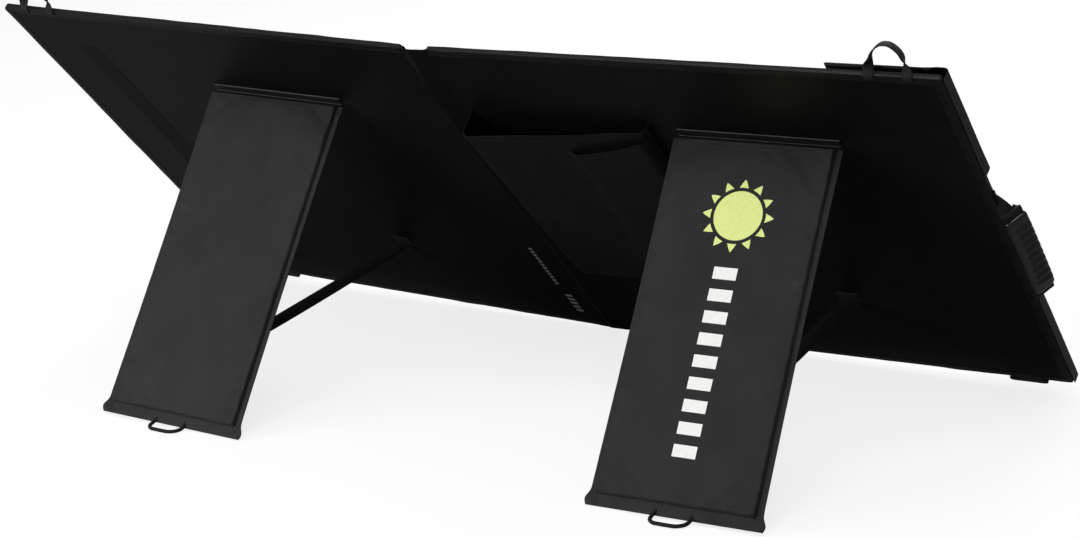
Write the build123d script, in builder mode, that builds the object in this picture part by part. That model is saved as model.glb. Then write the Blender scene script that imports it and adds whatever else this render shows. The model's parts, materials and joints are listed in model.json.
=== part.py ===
from build123d import *
from math import acos, atan2, cos, degrees, hypot, radians, sin
import os

# A folding camping solar panel: two stiff fabric-covered halves joined by a fabric strip, each
# with a fold-out leg, standing on the ground with the cells facing -Y and upwards.
# Millimetres. The origin is on the ground, under the bottom hem of the fold. +Z is up and +X is
# to the right for someone facing the cells, so LEFT is the -X half, which has the pocket,
# the closing flap and the handle.
#
# Inside a half, x runs out from the fold, y up the slope and z from the back face to the cells.

os.makedirs("parts", exist_ok=True)

LEFT, RIGHT = -1, 1
SIDES = {LEFT: "left", RIGHT: "right"}

# ---- the open panel ----
HALF_WIDTH = 540.0          # fold centre to outer edge
HEIGHT = 572.0              # along the slope
TILT = 43.2                 # slope of the panel from the ground, degrees
REST_FOLD = 1.32            # how far each half leans to the front when it stands, degrees
FOLD_HALF = 14.0            # half the width of the fabric fold strip
FOLD_RISE = 6.0             # fold axis in front of the cells' side: half the closed gap
RIDGE = 1.0                 # the fold strip stands this far behind the halves
CLEAR = 0.2                 # gap between neighbouring pieces
OVERCUT = 1.0               # cuts run this far past the face they open
CORNER = 6.0                # radius of the panel's corners

# ---- layers of a half, back to front ----
FABRIC = 0.6
BOARD = 1.6
BACKSHEET = 0.8
RIBBON = 0.15
CELL = 0.2
FILM = 0.5
BINDING = 0.5               # edge binding tape
BOARD_FRONT = FABRIC + BOARD
SHEET_FRONT = BOARD_FRONT + BACKSHEET
CELL_BACK = SHEET_FRONT + RIBBON
FILM_BACK = CELL_BACK + CELL
FILM_FRONT = FILM_BACK + FILM
THICKNESS = FILM_FRONT + FABRIC

# ---- solar cells ----
CELL_SIZE = 125.0
CELL_PITCH = 127.0
CELL_ROWS = 4
CELL_CHAMFER = 14.0
CELL_BLOCK = CELL_PITCH * (CELL_ROWS - 1) + CELL_SIZE
CELLS_X = (FOLD_HALF + HALF_WIDTH) / 2
CELLS_Y = HEIGHT / 2
WINDOW_MARGIN = 4.0         # the bezel stays this far off the cells
BINDING_LEAF = 10.0         # how far the binding laps over each face

# ---- legs ----
LEG_X = {LEFT: 328.0, RIGHT: 233.0}
LEG_HINGE_Y = 449.0
LEG_LENGTH = 368.0
LEG_WIDTH = 174.0
LEG_AXIS_DROP = 2.0         # hinge line behind the back face
LEG_INNER = -2.4            # the leg's faces, from its hinge line: towards the panel ...
LEG_OUTER = -8.0            # ... and away from it
LEG_TOP = 4.0               # gap between hinge line and the leg's top edge
SEAM = 8.0                  # sewn flange along the leg's long sides
FOOT_HEM = 14.0             # flat sewn hem at the foot
EAR = 4.0                   # the hem's corners stand out this far

# ---- limit straps ----
STRAP_WIDTH = 20.0
STRAP_THICKNESS = 1.6
STRAP_PANEL_Y = 138.0
STRAP_LEG_Y = -310.0
STRAP_PATCH = (24.0, 30.0, 1.0)
STRAP_END_GAP = 3.0

# ---- closing flap ----
SPINE_WIDTH = 14.0          # the flap's first strip, which spans the closed pack's thickness
FLAP_EDGE = 427.0           # free edge, from the fold
FLAP_AXIS = (541.5, 11.0)   # x, z of the spine's hinge line
FLAP_BACK = 9.8
FLAP_STIFFENER = 2.0
FLAP_END_GAP = 1.5
NOTCH = (180.0, 412.0)      # stretch of the edge left free for the handle
NOTCH_DEPTH = 22.0

# ---- handle ----
HANDLE_AXIS_X = HALF_WIDTH + 3.2
HANDLE_Z = THICKNESS / 2
HANDLE_HANG = 38.0          # the handle hangs this far out of the half's plane, to the back, degrees
HANDLE_ENDS = (218.0, 370.0)
GRIP_LENGTH = 134.0
GRIP_WIDTH = 24.0
GRIP_THICKNESS = 10.0
GRIP_X = 563.0
WEBBING = 1.6
EDGE_TAPE = 1.2             # tapes sewn along the outer edge for the handle and the flap

# ---- pocket on the back of the left half ----
POCKET_X = (15.0, 216.0)
POCKET_Y = (150.0, 463.0)
POCKET_WALL = 1.2
POCKET_FOOT_DEPTH = 14.0
POCKET_MOUTH_DEPTH = (30.0, 10.0)   # the mouth gapes at the fold end
POUCH_X = (122.0, 216.0)
POUCH_Y = (152.0, 455.0)

# ---- junction box, cable and plugs in the pocket ----
BOX_CENTRE = (75.0, 215.0)
BOX_SIZE = (70.0, 50.0, 11.0)
BOX_WALL = 1.6
CABLE_RADIUS = 2.5
CABLE_SPREAD = 4.0
CABLE_Z = -7.0
PLUG_LENGTH = 42.0          # from the cable's end to the plug's tip


def save(piece, name):
    """Label one finished piece and write it."""
    piece.part.label = name
    export_step(piece.part, f"parts/{name}.step")


# ---------------------------------------------------------------- planes

HEM = 2.0                   # the folded hem of the fold strip, which stands on the ground
fold_plane = Plane(
    origin=(0, HEM / sin(radians(TILT)) / 2, 0),
    x_dir=(1, 0, 0),
    z_dir=(0, -sin(radians(TILT)), cos(radians(TILT))),
)


def half_plane(side, z=0.0):
    """Plane parallel to one half, z in front of its back face."""
    to_axis = THICKNESS + FOLD_RISE
    axis = fold_plane.offset(RIDGE + to_axis)
    return turned(axis, 0, -side * REST_FOLD).offset(z - to_axis)


def turned(plane, about_x, about_y=0.0):
    """The same plane turned about its own axes, degrees."""
    return plane.moved(Rotation(about_x, about_y, 0))


def moved(plane, x, y, z=0.0):
    """The same plane with its origin moved along its own axes."""
    return plane.moved(Location((x, y, z)))


def handle_plane(z=0.0):
    """The left half's plane, turned about the handle's hinge line to where the handle hangs."""
    hinge = moved(half_plane(LEFT, HANDLE_Z), LEFT * HANDLE_AXIS_X, 0)
    return moved(turned(hinge, 0, -HANDLE_HANG), -LEFT * HANDLE_AXIS_X, 0, z)


def cross_plane(side, y):
    """Plane across a half's slope at height y; its own y runs out of the half's back."""
    base = half_plane(side)
    return Plane(
        origin=base.from_local_coords((0, y, 0)), x_dir=base.x_dir, z_dir=base.y_dir
    )


def leg_opening(side):
    """Angle between a leg and its half that stands the foot's lowest corner on the ground."""
    base = half_plane(side, -LEG_AXIS_DROP)
    hinge = base.from_local_coords((side * (LEG_X[side] - LEG_WIDTH / 2 - EAR), LEG_HINGE_Y, 0))
    along, across = base.y_dir.Z, base.z_dir.Z
    a = LEG_LENGTH * along - LEG_INNER * across
    b = LEG_LENGTH * across + LEG_INNER * along
    return degrees(atan2(b, a) + acos(hinge.Z / hypot(a, b)))


def leg_plane(side, z=0.0):
    """Plane of an open leg: x across it, y up to its hinge line, z towards the panel."""
    hinge = moved(half_plane(side, -LEG_AXIS_DROP), side * LEG_X[side], LEG_HINGE_Y)
    return turned(hinge, leg_opening(side)).offset(z)


def block(x_span, y_span, radius=0.0):
    """Rectangle between two x and two y values, in the sketch being drawn."""
    width = abs(x_span[1] - x_span[0])
    height = abs(y_span[1] - y_span[0])
    with Locations(((x_span[0] + x_span[1]) / 2, (y_span[0] + y_span[1]) / 2)):
        if radius:
            RectangleRounded(width, height, radius)
        else:
            Rectangle(width, height)


def outline(side, inset):
    """A half's sewn outline inside the edge binding, drawn in by inset."""
    edge = BINDING + CLEAR / 2 + inset
    block(
        (side * (FOLD_HALF + inset), side * (HALF_WIDTH - edge)),
        (edge, HEIGHT - edge),
        CORNER - inset,
    )


# ---------------------------------------------------------------- the two halves

for side, word in SIDES.items():
    # back fabric: a shallow tray that holds the board and the laminate
    with BuildPart() as back_cover:
        with BuildSketch(half_plane(side)):
            outline(side, 0)
        extrude(amount=FILM_FRONT)
        with BuildSketch(half_plane(side, FABRIC)):
            outline(side, FABRIC)
        extrude(amount=FILM_FRONT, mode=Mode.SUBTRACT)
    save(back_cover, f"{word}_back_cover")

    with BuildPart() as board:
        with BuildSketch(half_plane(side, FABRIC)):
            outline(side, FABRIC + CLEAR)
        extrude(amount=BOARD)
    save(board, f"{word}_stiffener_board")

    with BuildPart() as backsheet:
        with BuildSketch(half_plane(side, BOARD_FRONT)):
            outline(side, FABRIC + CLEAR)
        extrude(amount=BACKSHEET)
    save(backsheet, f"{word}_laminate_backsheet")

    # back-contact cells with chamfered corners
    with BuildPart() as cells:
        with BuildSketch(half_plane(side, CELL_BACK)) as cell_outlines:
            with Locations((side * CELLS_X, CELLS_Y)):
                with GridLocations(CELL_PITCH, CELL_PITCH, CELL_ROWS, CELL_ROWS):
                    Rectangle(CELL_SIZE, CELL_SIZE)
            chamfer(cell_outlines.vertices(), CELL_CHAMFER)
        extrude(amount=CELL)
    save(cells, f"{word}_solar_cells")

    # three tabs join each cell to the next one up, and flat busbars close the strings
    tab_length, tab_width, tab_spread, bus_width = 14.0, 5.0, 38.0, 5.0
    with BuildPart() as ribbons:
        with BuildSketch(half_plane(side, SHEET_FRONT)):
            with Locations((side * CELLS_X, CELLS_Y)):
                with GridLocations(CELL_PITCH, CELL_PITCH, CELL_ROWS, CELL_ROWS - 1):
                    with GridLocations(tab_spread, 0, 3, 1):
                        Rectangle(tab_width, tab_length)
                with GridLocations(CELL_PITCH * 2, CELL_BLOCK + 2 * bus_width, 2, 2):
                    Rectangle(CELL_PITCH + CELL_SIZE, bus_width)
        extrude(amount=RIBBON)
    save(ribbons, f"{word}_cell_ribbons")

    with BuildPart() as film:
        with BuildSketch(half_plane(side, FILM_BACK)):
            outline(side, FABRIC + CLEAR)
        extrude(amount=FILM)
    save(film, f"{word}_front_film")

    # fabric frame sewn round the cells
    reach = CELL_BLOCK / 2 + WINDOW_MARGIN
    with BuildPart() as bezel:
        with BuildSketch(half_plane(side, FILM_FRONT)):
            outline(side, 0)
            with Locations((side * CELLS_X, CELLS_Y)):
                RectangleRounded(2 * reach, 2 * reach, CORNER, mode=Mode.SUBTRACT)
        extrude(amount=FABRIC)
    save(bezel, f"{word}_front_bezel")

    # binding tape folded over the top, outer and bottom edges
    binding_gap = 2.0
    start = FOLD_HALF + binding_gap
    with BuildPart() as binding:
        with BuildSketch(half_plane(side, -BINDING)):
            block((side * start, side * HALF_WIDTH), (0, HEIGHT), CORNER)
        extrude(amount=THICKNESS + 2 * BINDING)
        with BuildSketch(half_plane(side)):
            block(
                (side * (start - CORNER), side * (HALF_WIDTH - BINDING)),
                (BINDING, HEIGHT - BINDING),
                CORNER,
            )
        extrude(amount=THICKNESS, mode=Mode.SUBTRACT)
        with BuildSketch(half_plane(side, -BINDING)):
            block(
                (side * (start - CORNER), side * (HALF_WIDTH - BINDING_LEAF)),
                (BINDING_LEAF, HEIGHT - BINDING_LEAF),
            )
        extrude(amount=THICKNESS + 2 * BINDING, mode=Mode.SUBTRACT)
    save(binding, f"{word}_edge_binding")

    # webbing loops near the outer corners: one arched above the top edge, one flattened under
    # the bottom edge by the ground
    loop_middle, loop_radius, loop_leg, loop_band = 490.0, 18.5, 10.5, 10.0
    flat_width, flat_drop = 46.0, 8.0
    band_overhang = 4.0         # how far the band stands in front of the bezel
    band_back = THICKNESS + band_overhang - loop_band
    inner_radius = loop_radius - WEBBING
    edge_gap = CLEAR / 2
    with BuildPart() as loops:
        with BuildSketch(half_plane(side, band_back)):
            with Locations((side * loop_middle, HEIGHT + edge_gap + loop_leg / 2)):
                Rectangle(2 * loop_radius, loop_leg)
            with Locations((side * loop_middle, HEIGHT + edge_gap + loop_leg)):
                Circle(loop_radius)
            with Locations((side * loop_middle, HEIGHT + edge_gap + loop_leg)):
                Circle(inner_radius, mode=Mode.SUBTRACT)
            with Locations((side * loop_middle, HEIGHT - loop_radius + loop_leg)):
                Rectangle(2 * inner_radius, 2 * loop_radius, mode=Mode.SUBTRACT)
            with Locations((side * loop_middle, HEIGHT + edge_gap - loop_radius)):
                Rectangle(4 * loop_radius, 2 * loop_radius, mode=Mode.SUBTRACT)
            with Locations((side * loop_middle, -edge_gap - flat_drop / 2)):
                RectangleRounded(flat_width, flat_drop, flat_drop / 2 - CLEAR)
                RectangleRounded(
                    flat_width - 2 * WEBBING,
                    flat_drop - 2 * WEBBING,
                    flat_drop / 2 - WEBBING - CLEAR,
                    mode=Mode.SUBTRACT,
                )
        extrude(amount=loop_band)
    save(loops, f"{word}_corner_loops")

# ---------------------------------------------------------------- the fold between the halves

fold_half_width = FOLD_HALF - CLEAR
front_strip_z = HEM + CLEAR
hem_turn = 12.0             # the hem is turned up this far

with BuildPart() as fold_back:
    with BuildSketch(fold_plane):
        block((-fold_half_width, fold_half_width), (-HEM, HEIGHT))
    extrude(amount=FABRIC)
    with BuildSketch(fold_plane):
        block((-fold_half_width, fold_half_width), (-2 * HEM, hem_turn))
    extrude(amount=HEM)
    split(bisect_by=Plane.XY, keep=Keep.TOP)
save(fold_back, "fold_strip_back")

with BuildPart() as fold_front:
    with BuildSketch(fold_plane.offset(front_strip_z)):
        block((-fold_half_width, fold_half_width), (0, HEIGHT))
    extrude(amount=FABRIC)
save(fold_front, "fold_strip_front")

# flat conductors that carry the right half's current across the fold
jumper_width, jumper_inset, jumper_thickness = 10.0, 90.0, 0.6
with BuildPart() as jumpers:
    with BuildSketch(fold_plane.offset(FABRIC + CLEAR)):
        with Locations((0, HEIGHT / 2)):
            with GridLocations(0, HEIGHT - 2 * jumper_inset, 1, 2):
                Rectangle(2 * fold_half_width, jumper_width)
    extrude(amount=jumper_thickness)
save(jumpers, "fold_jumper_ribbons")

# ---------------------------------------------------------------- legs and their straps

leg_sheet = LEG_OUTER + FABRIC
flange_back = LEG_INNER - 2 * FABRIC
pillow_half = LEG_WIDTH / 2 - SEAM
pillow_span = (-LEG_LENGTH + FOOT_HEM, -LEG_TOP - FABRIC)


def leg_outline():
    """The leg's sewn edge, with the foot hem's two ears."""
    half = LEG_WIDTH / 2
    block((-half, half), (-LEG_LENGTH, -LEG_TOP))
    block((-half - EAR, half + EAR), (-LEG_LENGTH, -LEG_LENGTH + FOOT_HEM), EAR / 2)


for side, word in SIDES.items():
    # outer cover: a pillow-shaped sleeve with a flat flange round it
    with BuildPart() as outer_cover:
        with BuildSketch(leg_plane(side, flange_back)):
            leg_outline()
        extrude(amount=FABRIC)
        with BuildSketch(leg_plane(side, LEG_OUTER)):
            block((-pillow_half, pillow_half), pillow_span, CORNER)
        extrude(amount=flange_back - LEG_OUTER)
        with BuildSketch(leg_plane(side, leg_sheet)):
            block(
                (-pillow_half + FABRIC, pillow_half - FABRIC),
                (pillow_span[0] + FABRIC, pillow_span[1] - FABRIC),
                CORNER - FABRIC,
            )
        extrude(amount=flange_back + FABRIC - leg_sheet, mode=Mode.SUBTRACT)
    save(outer_cover, f"{word}_leg_outer_cover")

    with BuildPart() as inner_cover:
        with BuildSketch(leg_plane(side, LEG_INNER - FABRIC)):
            leg_outline()
        extrude(amount=FABRIC)
    save(inner_cover, f"{word}_leg_inner_cover")

    board_gap = FABRIC + CLEAR
    with BuildPart() as leg_board:
        with BuildSketch(leg_plane(side, leg_sheet + CLEAR / 2)):
            block(
                (-pillow_half + board_gap, pillow_half - board_gap),
                (pillow_span[0] + board_gap, pillow_span[1] - board_gap),
                CORNER - FABRIC,
            )
        extrude(amount=LEG_INNER - FABRIC - leg_sheet - CLEAR)
    save(leg_board, f"{word}_leg_board")

    # tape that hangs the leg from the back cover
    tape_gap, tape_height, tape_thickness, tape_inset = 3.0, 9.0, 1.2, 3.0
    tape_half = LEG_WIDTH / 2 - tape_inset
    with BuildPart() as hinge_tape:
        with BuildSketch(moved(half_plane(side), side * LEG_X[side], LEG_HINGE_Y)):
            block((-tape_half, tape_half), (tape_gap, tape_gap + tape_height))
        extrude(amount=-tape_thickness)
    save(hinge_tape, f"{word}_leg_hinge_tape")

    # cord loop at the foot, lying on the ground on the outer side
    cord, loop_back, loop_front, loop_reach = 3.0, 22.0, 15.0, 18.0
    foot = moved(leg_plane(side), 0, -LEG_LENGTH, LEG_INNER)
    ground = turned(foot, 180 - TILT - leg_opening(side))
    start = -2.0 * FABRIC / sin(radians(TILT)) - CLEAR
    with BuildPart() as foot_loop:
        with BuildSketch(ground.offset(-cord - FABRIC)):
            Polygon(
                (-loop_back, start),
                (loop_back, start),
                (loop_front, start - loop_reach),
                (-loop_front, start - loop_reach),
                align=None,
            )
            offset(amount=-cord, kind=Kind.INTERSECTION, mode=Mode.SUBTRACT)
        extrude(amount=cord)
    save(foot_loop, f"{word}_foot_loop")

    # the strap that stops the leg at its open angle, sewn to a patch at each end
    patch_width, patch_height, patch_thickness = STRAP_PATCH
    with BuildPart() as panel_patch:
        with BuildSketch(moved(half_plane(side), side * LEG_X[side], STRAP_PANEL_Y)):
            Rectangle(patch_width, patch_height)
        extrude(amount=-patch_thickness)
    save(panel_patch, f"{word}_strap_panel_patch")

    with BuildPart() as leg_patch:
        with BuildSketch(moved(leg_plane(side), 0, STRAP_LEG_Y, LEG_INNER)):
            Rectangle(patch_width, patch_height)
        extrude(amount=patch_thickness)
    save(leg_patch, f"{word}_strap_leg_patch")

    panel_end = moved(
        half_plane(side), side * LEG_X[side], STRAP_PANEL_Y, -patch_thickness - STRAP_THICKNESS
    )
    leg_end = leg_plane(side).from_local_coords(
        (0, STRAP_LEG_Y, LEG_INNER + patch_thickness + STRAP_THICKNESS)
    )
    run = panel_end.to_local_coords(leg_end)
    pull = turned(panel_end, degrees(atan2(run.Z, run.Y)))
    length = hypot(run.Y, run.Z)
    with BuildPart() as strap:
        with BuildSketch(pull.offset(-STRAP_THICKNESS / 2)):
            block(
                (-STRAP_WIDTH / 2, STRAP_WIDTH / 2),
                (STRAP_END_GAP, length - STRAP_END_GAP),
            )
        extrude(amount=STRAP_THICKNESS)
    save(strap, f"{word}_limit_strap")

# ---------------------------------------------------------------- closing flap on the left edge

spine_stretches = ((FLAP_END_GAP, NOTCH[0]), (NOTCH[1], HEIGHT - FLAP_END_GAP))
axis_x, axis_z = FLAP_AXIS
tape_start = HALF_WIDTH + CLEAR / 2
tape_face = tape_start + EDGE_TAPE
spine_front = axis_z + FABRIC / 2 + CLEAR
spine_back = axis_z - FABRIC / 2 - CLEAR
bend_x = axis_x - SPINE_WIDTH
hinge_gap, bend_gap = 0.5, 1.2
flap_start = bend_x - bend_gap

# tape on the outer edge that carries the spine, either side of the handle
with BuildPart() as flap_tape:
    with BuildSketch(half_plane(LEFT, -BINDING)):
        for stretch in spine_stretches:
            block((LEFT * tape_start, LEFT * tape_face), stretch)
    extrude(amount=spine_back - CLEAR + BINDING)
save(flap_tape, "flap_hinge_tape")

with BuildPart() as spine:
    with BuildSketch(half_plane(LEFT, spine_back)):
        for stretch in spine_stretches:
            block((LEFT * (axis_x - hinge_gap), LEFT * (bend_x + hinge_gap)), stretch)
    extrude(amount=spine_front - spine_back)
save(spine, "flap_spine")


def flap_outline(inset):
    """The flap seen from the front, with the notch that clears the handle."""
    block(
        (LEFT * (FLAP_EDGE + inset), LEFT * (flap_start - inset)),
        (FLAP_END_GAP + inset, HEIGHT - FLAP_END_GAP - inset),
        CORNER - inset,
    )
    with Locations((LEFT * flap_start, sum(NOTCH) / 2)):
        Rectangle(
            2 * (NOTCH_DEPTH + inset),
            NOTCH[1] - NOTCH[0] + 2 * inset,
            mode=Mode.SUBTRACT,
        )


stiffener_back = FLAP_BACK + FABRIC
with BuildPart() as flap_inner:
    with BuildSketch(half_plane(LEFT, FLAP_BACK)):
        flap_outline(0)
    extrude(amount=FABRIC)
save(flap_inner, "flap_inner_cover")

with BuildPart() as flap_board:
    with BuildSketch(half_plane(LEFT, stiffener_back)):
        flap_outline(FABRIC + CLEAR)
    extrude(amount=FLAP_STIFFENER)
save(flap_board, "flap_stiffener")

with BuildPart() as flap_outer:
    with BuildSketch(half_plane(LEFT, stiffener_back)):
        flap_outline(0)
    extrude(amount=FLAP_STIFFENER + FABRIC)
    with BuildSketch(half_plane(LEFT, stiffener_back)):
        flap_outline(FABRIC)
    extrude(amount=FLAP_STIFFENER, mode=Mode.SUBTRACT)
save(flap_outer, "flap_outer_cover")

# hook tape under the flap, and the loop tape on the right half's back that it closes onto
tape_width, hook_thickness, tape_end, hook_margin, loop_margin = 25.0, 0.5, 60.0, 8.0, 3.0
hook_x = FLAP_EDGE + hook_margin
with BuildPart() as hook_tape:
    with BuildSketch(half_plane(LEFT, FLAP_BACK)):
        block((LEFT * hook_x, LEFT * (hook_x + tape_width)), (tape_end, HEIGHT - tape_end))
    extrude(amount=-hook_thickness)
save(hook_tape, "flap_hook_tape")

loop_x = hook_x + SPINE_WIDTH - loop_margin
with BuildPart() as loop_tape:
    with BuildSketch(half_plane(RIGHT)):
        block((loop_x, loop_x + tape_width + 2 * loop_margin), (tape_end, HEIGHT - tape_end))
    extrude(amount=-FABRIC)
save(loop_tape, "right_loop_tape")

# ---------------------------------------------------------------- handle on the left edge

root_width, root_gap, neck_half = 24.0, 0.7, 3.6
root_x = HANDLE_AXIS_X + root_gap
grip_middle = sum(HANDLE_ENDS) / 2
grip_end = GRIP_LENGTH / 2

with BuildPart() as anchors:
    with BuildSketch(half_plane(LEFT)):
        for end in HANDLE_ENDS:
            block(
                (LEFT * tape_start, LEFT * tape_face),
                (end - root_width / 2, end + root_width / 2),
            )
    extrude(amount=THICKNESS)
save(anchors, "handle_anchor_tabs")

# webbing: flat where it is sewn in, gathered where it runs through the grip
with BuildPart() as webbing:
    with BuildSketch(moved(handle_plane(-WEBBING / 2), 0, grip_middle)):
        block((LEFT * (GRIP_X - neck_half), LEFT * (GRIP_X + neck_half)), (-grip_end, grip_end))
        for end in (-1, 1):
            root = end * (HANDLE_ENDS[1] - HANDLE_ENDS[0]) / 2
            with BuildLine():
                Polyline(
                    (LEFT * root_x, root - end * root_width / 2),
                    (LEFT * (GRIP_X - neck_half), end * grip_end),
                    (LEFT * (GRIP_X + neck_half), end * grip_end),
                    (LEFT * (GRIP_X - neck_half), root),
                    (LEFT * root_x, root + end * root_width / 2),
                    close=True,
                )
            make_face()
    extrude(amount=WEBBING)
save(webbing, "handle_webbing")

# moulded grip: a slotted sleeve with cross ribs on its outer face
rib_count, rib_pitch, rib_width, rib_height, rib_inset = 9, 12.0, 5.0, 2.0, 3.0
sleeve_half, grip_corner, grip_edge = grip_end - 1.0, 4.0, 2.0
grip_plane = moved(handle_plane(-GRIP_WIDTH / 2), 0, grip_middle)
with BuildPart() as grip:
    with BuildSketch(grip_plane):
        block(
            (LEFT * (GRIP_X - GRIP_THICKNESS / 2), LEFT * (GRIP_X + GRIP_THICKNESS / 2)),
            (-sleeve_half, sleeve_half),
            grip_corner,
        )
    extrude(amount=GRIP_WIDTH)
    sides_first = grip.faces().sort_by(Axis(grip_plane.origin, grip_plane.z_dir))
    fillet(sides_first[0].edges() + sides_first[-1].edges(), grip_edge)
    with BuildSketch(grip_plane.offset(rib_inset)):
        with Locations((LEFT * (GRIP_X + GRIP_THICKNESS / 2), 0)):
            with GridLocations(0, rib_pitch, 1, rib_count):
                Rectangle(2 * rib_height, rib_width)
    extrude(amount=GRIP_WIDTH - 2 * rib_inset)
    with BuildSketch(moved(handle_plane(-WEBBING), 0, grip_middle)):
        block(
            (LEFT * (GRIP_X - neck_half - CLEAR), LEFT * (GRIP_X + neck_half + CLEAR)),
            (-grip_end, grip_end),
        )
    extrude(amount=2 * WEBBING, mode=Mode.SUBTRACT)
save(grip, "handle_grip")

# ---------------------------------------------------------------- pocket and what it holds


def pocket_depth(x, y):
    """How far the pocket's outer sheet stands behind the back face, x from the fold."""
    up = (y - POCKET_Y[0]) / (POCKET_Y[1] - POCKET_Y[0])
    out = (x - POCKET_X[0]) / (POCKET_X[1] - POCKET_X[0])
    mouth = POCKET_MOUTH_DEPTH[0] + out * (POCKET_MOUTH_DEPTH[1] - POCKET_MOUTH_DEPTH[0])
    return POCKET_FOOT_DEPTH + up * (mouth - POCKET_FOOT_DEPTH)


def bag_section(y, x_span, near, far):
    """Draw a bag's cross-section at height y, between the surfaces near(x, y) and far(x, y)."""
    inner, outer = x_span
    Polygon(
        (LEFT * inner, near(inner, y)),
        (LEFT * outer, near(outer, y)),
        (LEFT * outer, far(outer, y)),
        (LEFT * inner, far(inner, y)),
        align=None,
    )


def beyond(amount):
    """A surface that stands amount behind the pocket's outer sheet."""
    return lambda x, y: pocket_depth(x, y) + amount


def level(amount):
    """A flat surface amount behind the back face."""
    return lambda x, y: amount


pocket_room = (POCKET_X[0] + POCKET_WALL, POCKET_X[1] - POCKET_WALL)
with BuildPart() as pocket:
    for y in POCKET_Y:
        with BuildSketch(cross_plane(LEFT, y)):
            bag_section(y, POCKET_X, level(0), beyond(0))
    loft()
    for y in (POCKET_Y[0] + POCKET_WALL, POCKET_Y[1] + OVERCUT):
        with BuildSketch(cross_plane(LEFT, y)):
            bag_section(y, pocket_room, level(-OVERCUT), beyond(-POCKET_WALL))
    loft(mode=Mode.SUBTRACT)
save(pocket, "pocket_body")

# a smaller open pouch sewn on the outside of the pocket, wider at its mouth
pouch_bulges = (3.5, 7.0)
pouch_room = (POUCH_X[0] + FABRIC, POUCH_X[1] - FABRIC)
with BuildPart() as pouch:
    for y, bulge in zip(POUCH_Y, pouch_bulges):
        with BuildSketch(cross_plane(LEFT, y)):
            bag_section(y, POUCH_X, beyond(CLEAR), beyond(bulge))
    loft()
    for y, bulge in zip((POUCH_Y[0] + FABRIC, POUCH_Y[1] + OVERCUT), pouch_bulges):
        with BuildSketch(cross_plane(LEFT, y)):
            bag_section(y, pouch_room, beyond(CLEAR + FABRIC), beyond(bulge - FABRIC))
    loft(mode=Mode.SUBTRACT)
save(pouch, "pocket_pouch")

box_x, box_y = BOX_CENTRE
box_width, box_height, box_depth = BOX_SIZE
box_plane = moved(half_plane(LEFT), LEFT * box_x, box_y)
box_corner = 4.0

with BuildPart() as box_base:
    with BuildSketch(box_plane):
        RectangleRounded(box_width, box_height, box_corner)
    extrude(amount=-box_depth)
    with BuildSketch(box_plane.offset(-BOX_WALL)):
        RectangleRounded(
            box_width - 2 * BOX_WALL, box_height - 2 * BOX_WALL, box_corner - BOX_WALL
        )
    extrude(amount=-box_depth, mode=Mode.SUBTRACT)
    # way out for the gland
    hole_margin = 1.0
    gland_plane = Plane(
        origin=box_plane.from_local_coords((LEFT * (box_width / 2 - 2 * BOX_WALL), 0, CABLE_Z)),
        x_dir=box_plane.y_dir,
        z_dir=-box_plane.x_dir,
    )
    with BuildSketch(gland_plane):
        with GridLocations(2 * CABLE_SPREAD, 0, 2, 1):
            Circle(CABLE_RADIUS + hole_margin)
    extrude(amount=4 * BOX_WALL, mode=Mode.SUBTRACT)
save(box_base, "junction_box_base")

lid_bevel, lip_gap, lip_height, lip_corners = 0.6, BOX_WALL + CLEAR, 1.0, (2.0, 1.0)
lip_width, lip_length = box_width - 2 * lip_gap, box_height - 2 * lip_gap
with BuildPart() as box_lid:
    with BuildSketch(box_plane.offset(-box_depth)):
        RectangleRounded(box_width, box_height, box_corner)
    extrude(amount=-BOX_WALL)
    chamfer(box_lid.faces().sort_by(Axis(box_plane.origin, box_plane.z_dir))[0].edges(), lid_bevel)
    with BuildSketch(box_plane.offset(-box_depth)):
        RectangleRounded(lip_width, lip_length, lip_corners[0])
        RectangleRounded(
            lip_width - 2 * BOX_WALL,
            lip_length - 2 * BOX_WALL,
            lip_corners[1],
            mode=Mode.SUBTRACT,
        )
    extrude(amount=lip_height)
save(box_lid, "junction_box_lid")

circuit_size = (52.0, 34.0, 1.2)
circuit_z = -BOX_WALL - CLEAR
with BuildPart() as circuit:
    with BuildSketch(box_plane.offset(circuit_z)):
        Rectangle(circuit_size[0], circuit_size[1])
    extrude(amount=-circuit_size[2])
save(circuit, "diode_board")

diode_pitch, diode_width, diode_length, diode_depth = 16.0, 6.0, 9.0, 2.6
with BuildPart() as diodes:
    with BuildSketch(box_plane.offset(circuit_z - circuit_size[2])):
        with GridLocations(diode_pitch, 0, 3, 1):
            Rectangle(diode_width, diode_length)
    extrude(amount=-diode_depth)
save(diodes, "bypass_diodes")

gland_margin, gland_corner, gland_length = 1.0, 2.5, 8.0
with BuildPart() as gland:
    with BuildSketch(gland_plane.offset(2 * BOX_WALL + CLEAR)):
        RectangleRounded(
            2 * (2 * CABLE_SPREAD + gland_margin), 2 * (box_depth + CABLE_Z), gland_corner
        )
        with GridLocations(2 * CABLE_SPREAD, 0, 2, 1):
            Circle(CABLE_RADIUS + CLEAR, mode=Mode.SUBTRACT)
    extrude(amount=gland_length)
save(gland, "cable_gland")


def cable_route(shift):
    """Turning points of one conductor's cable, shift to the left of the way it runs."""
    out_x, top_y, back_x, low_y, plug_x, plug_y = 184.0, 388.0, 128.0, 280.0, 56.0, 335.0
    plug_shift = 4 * shift
    return [
        (box_x + box_width / 2 - BOX_WALL, box_y + shift),
        (out_x - shift, box_y + shift),
        (out_x - shift, top_y - shift),
        (back_x + shift, top_y - shift),
        (back_x + shift, low_y - shift),
        (plug_x - plug_shift, low_y - shift),
        (plug_x - plug_shift, plug_y),
    ]


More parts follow.
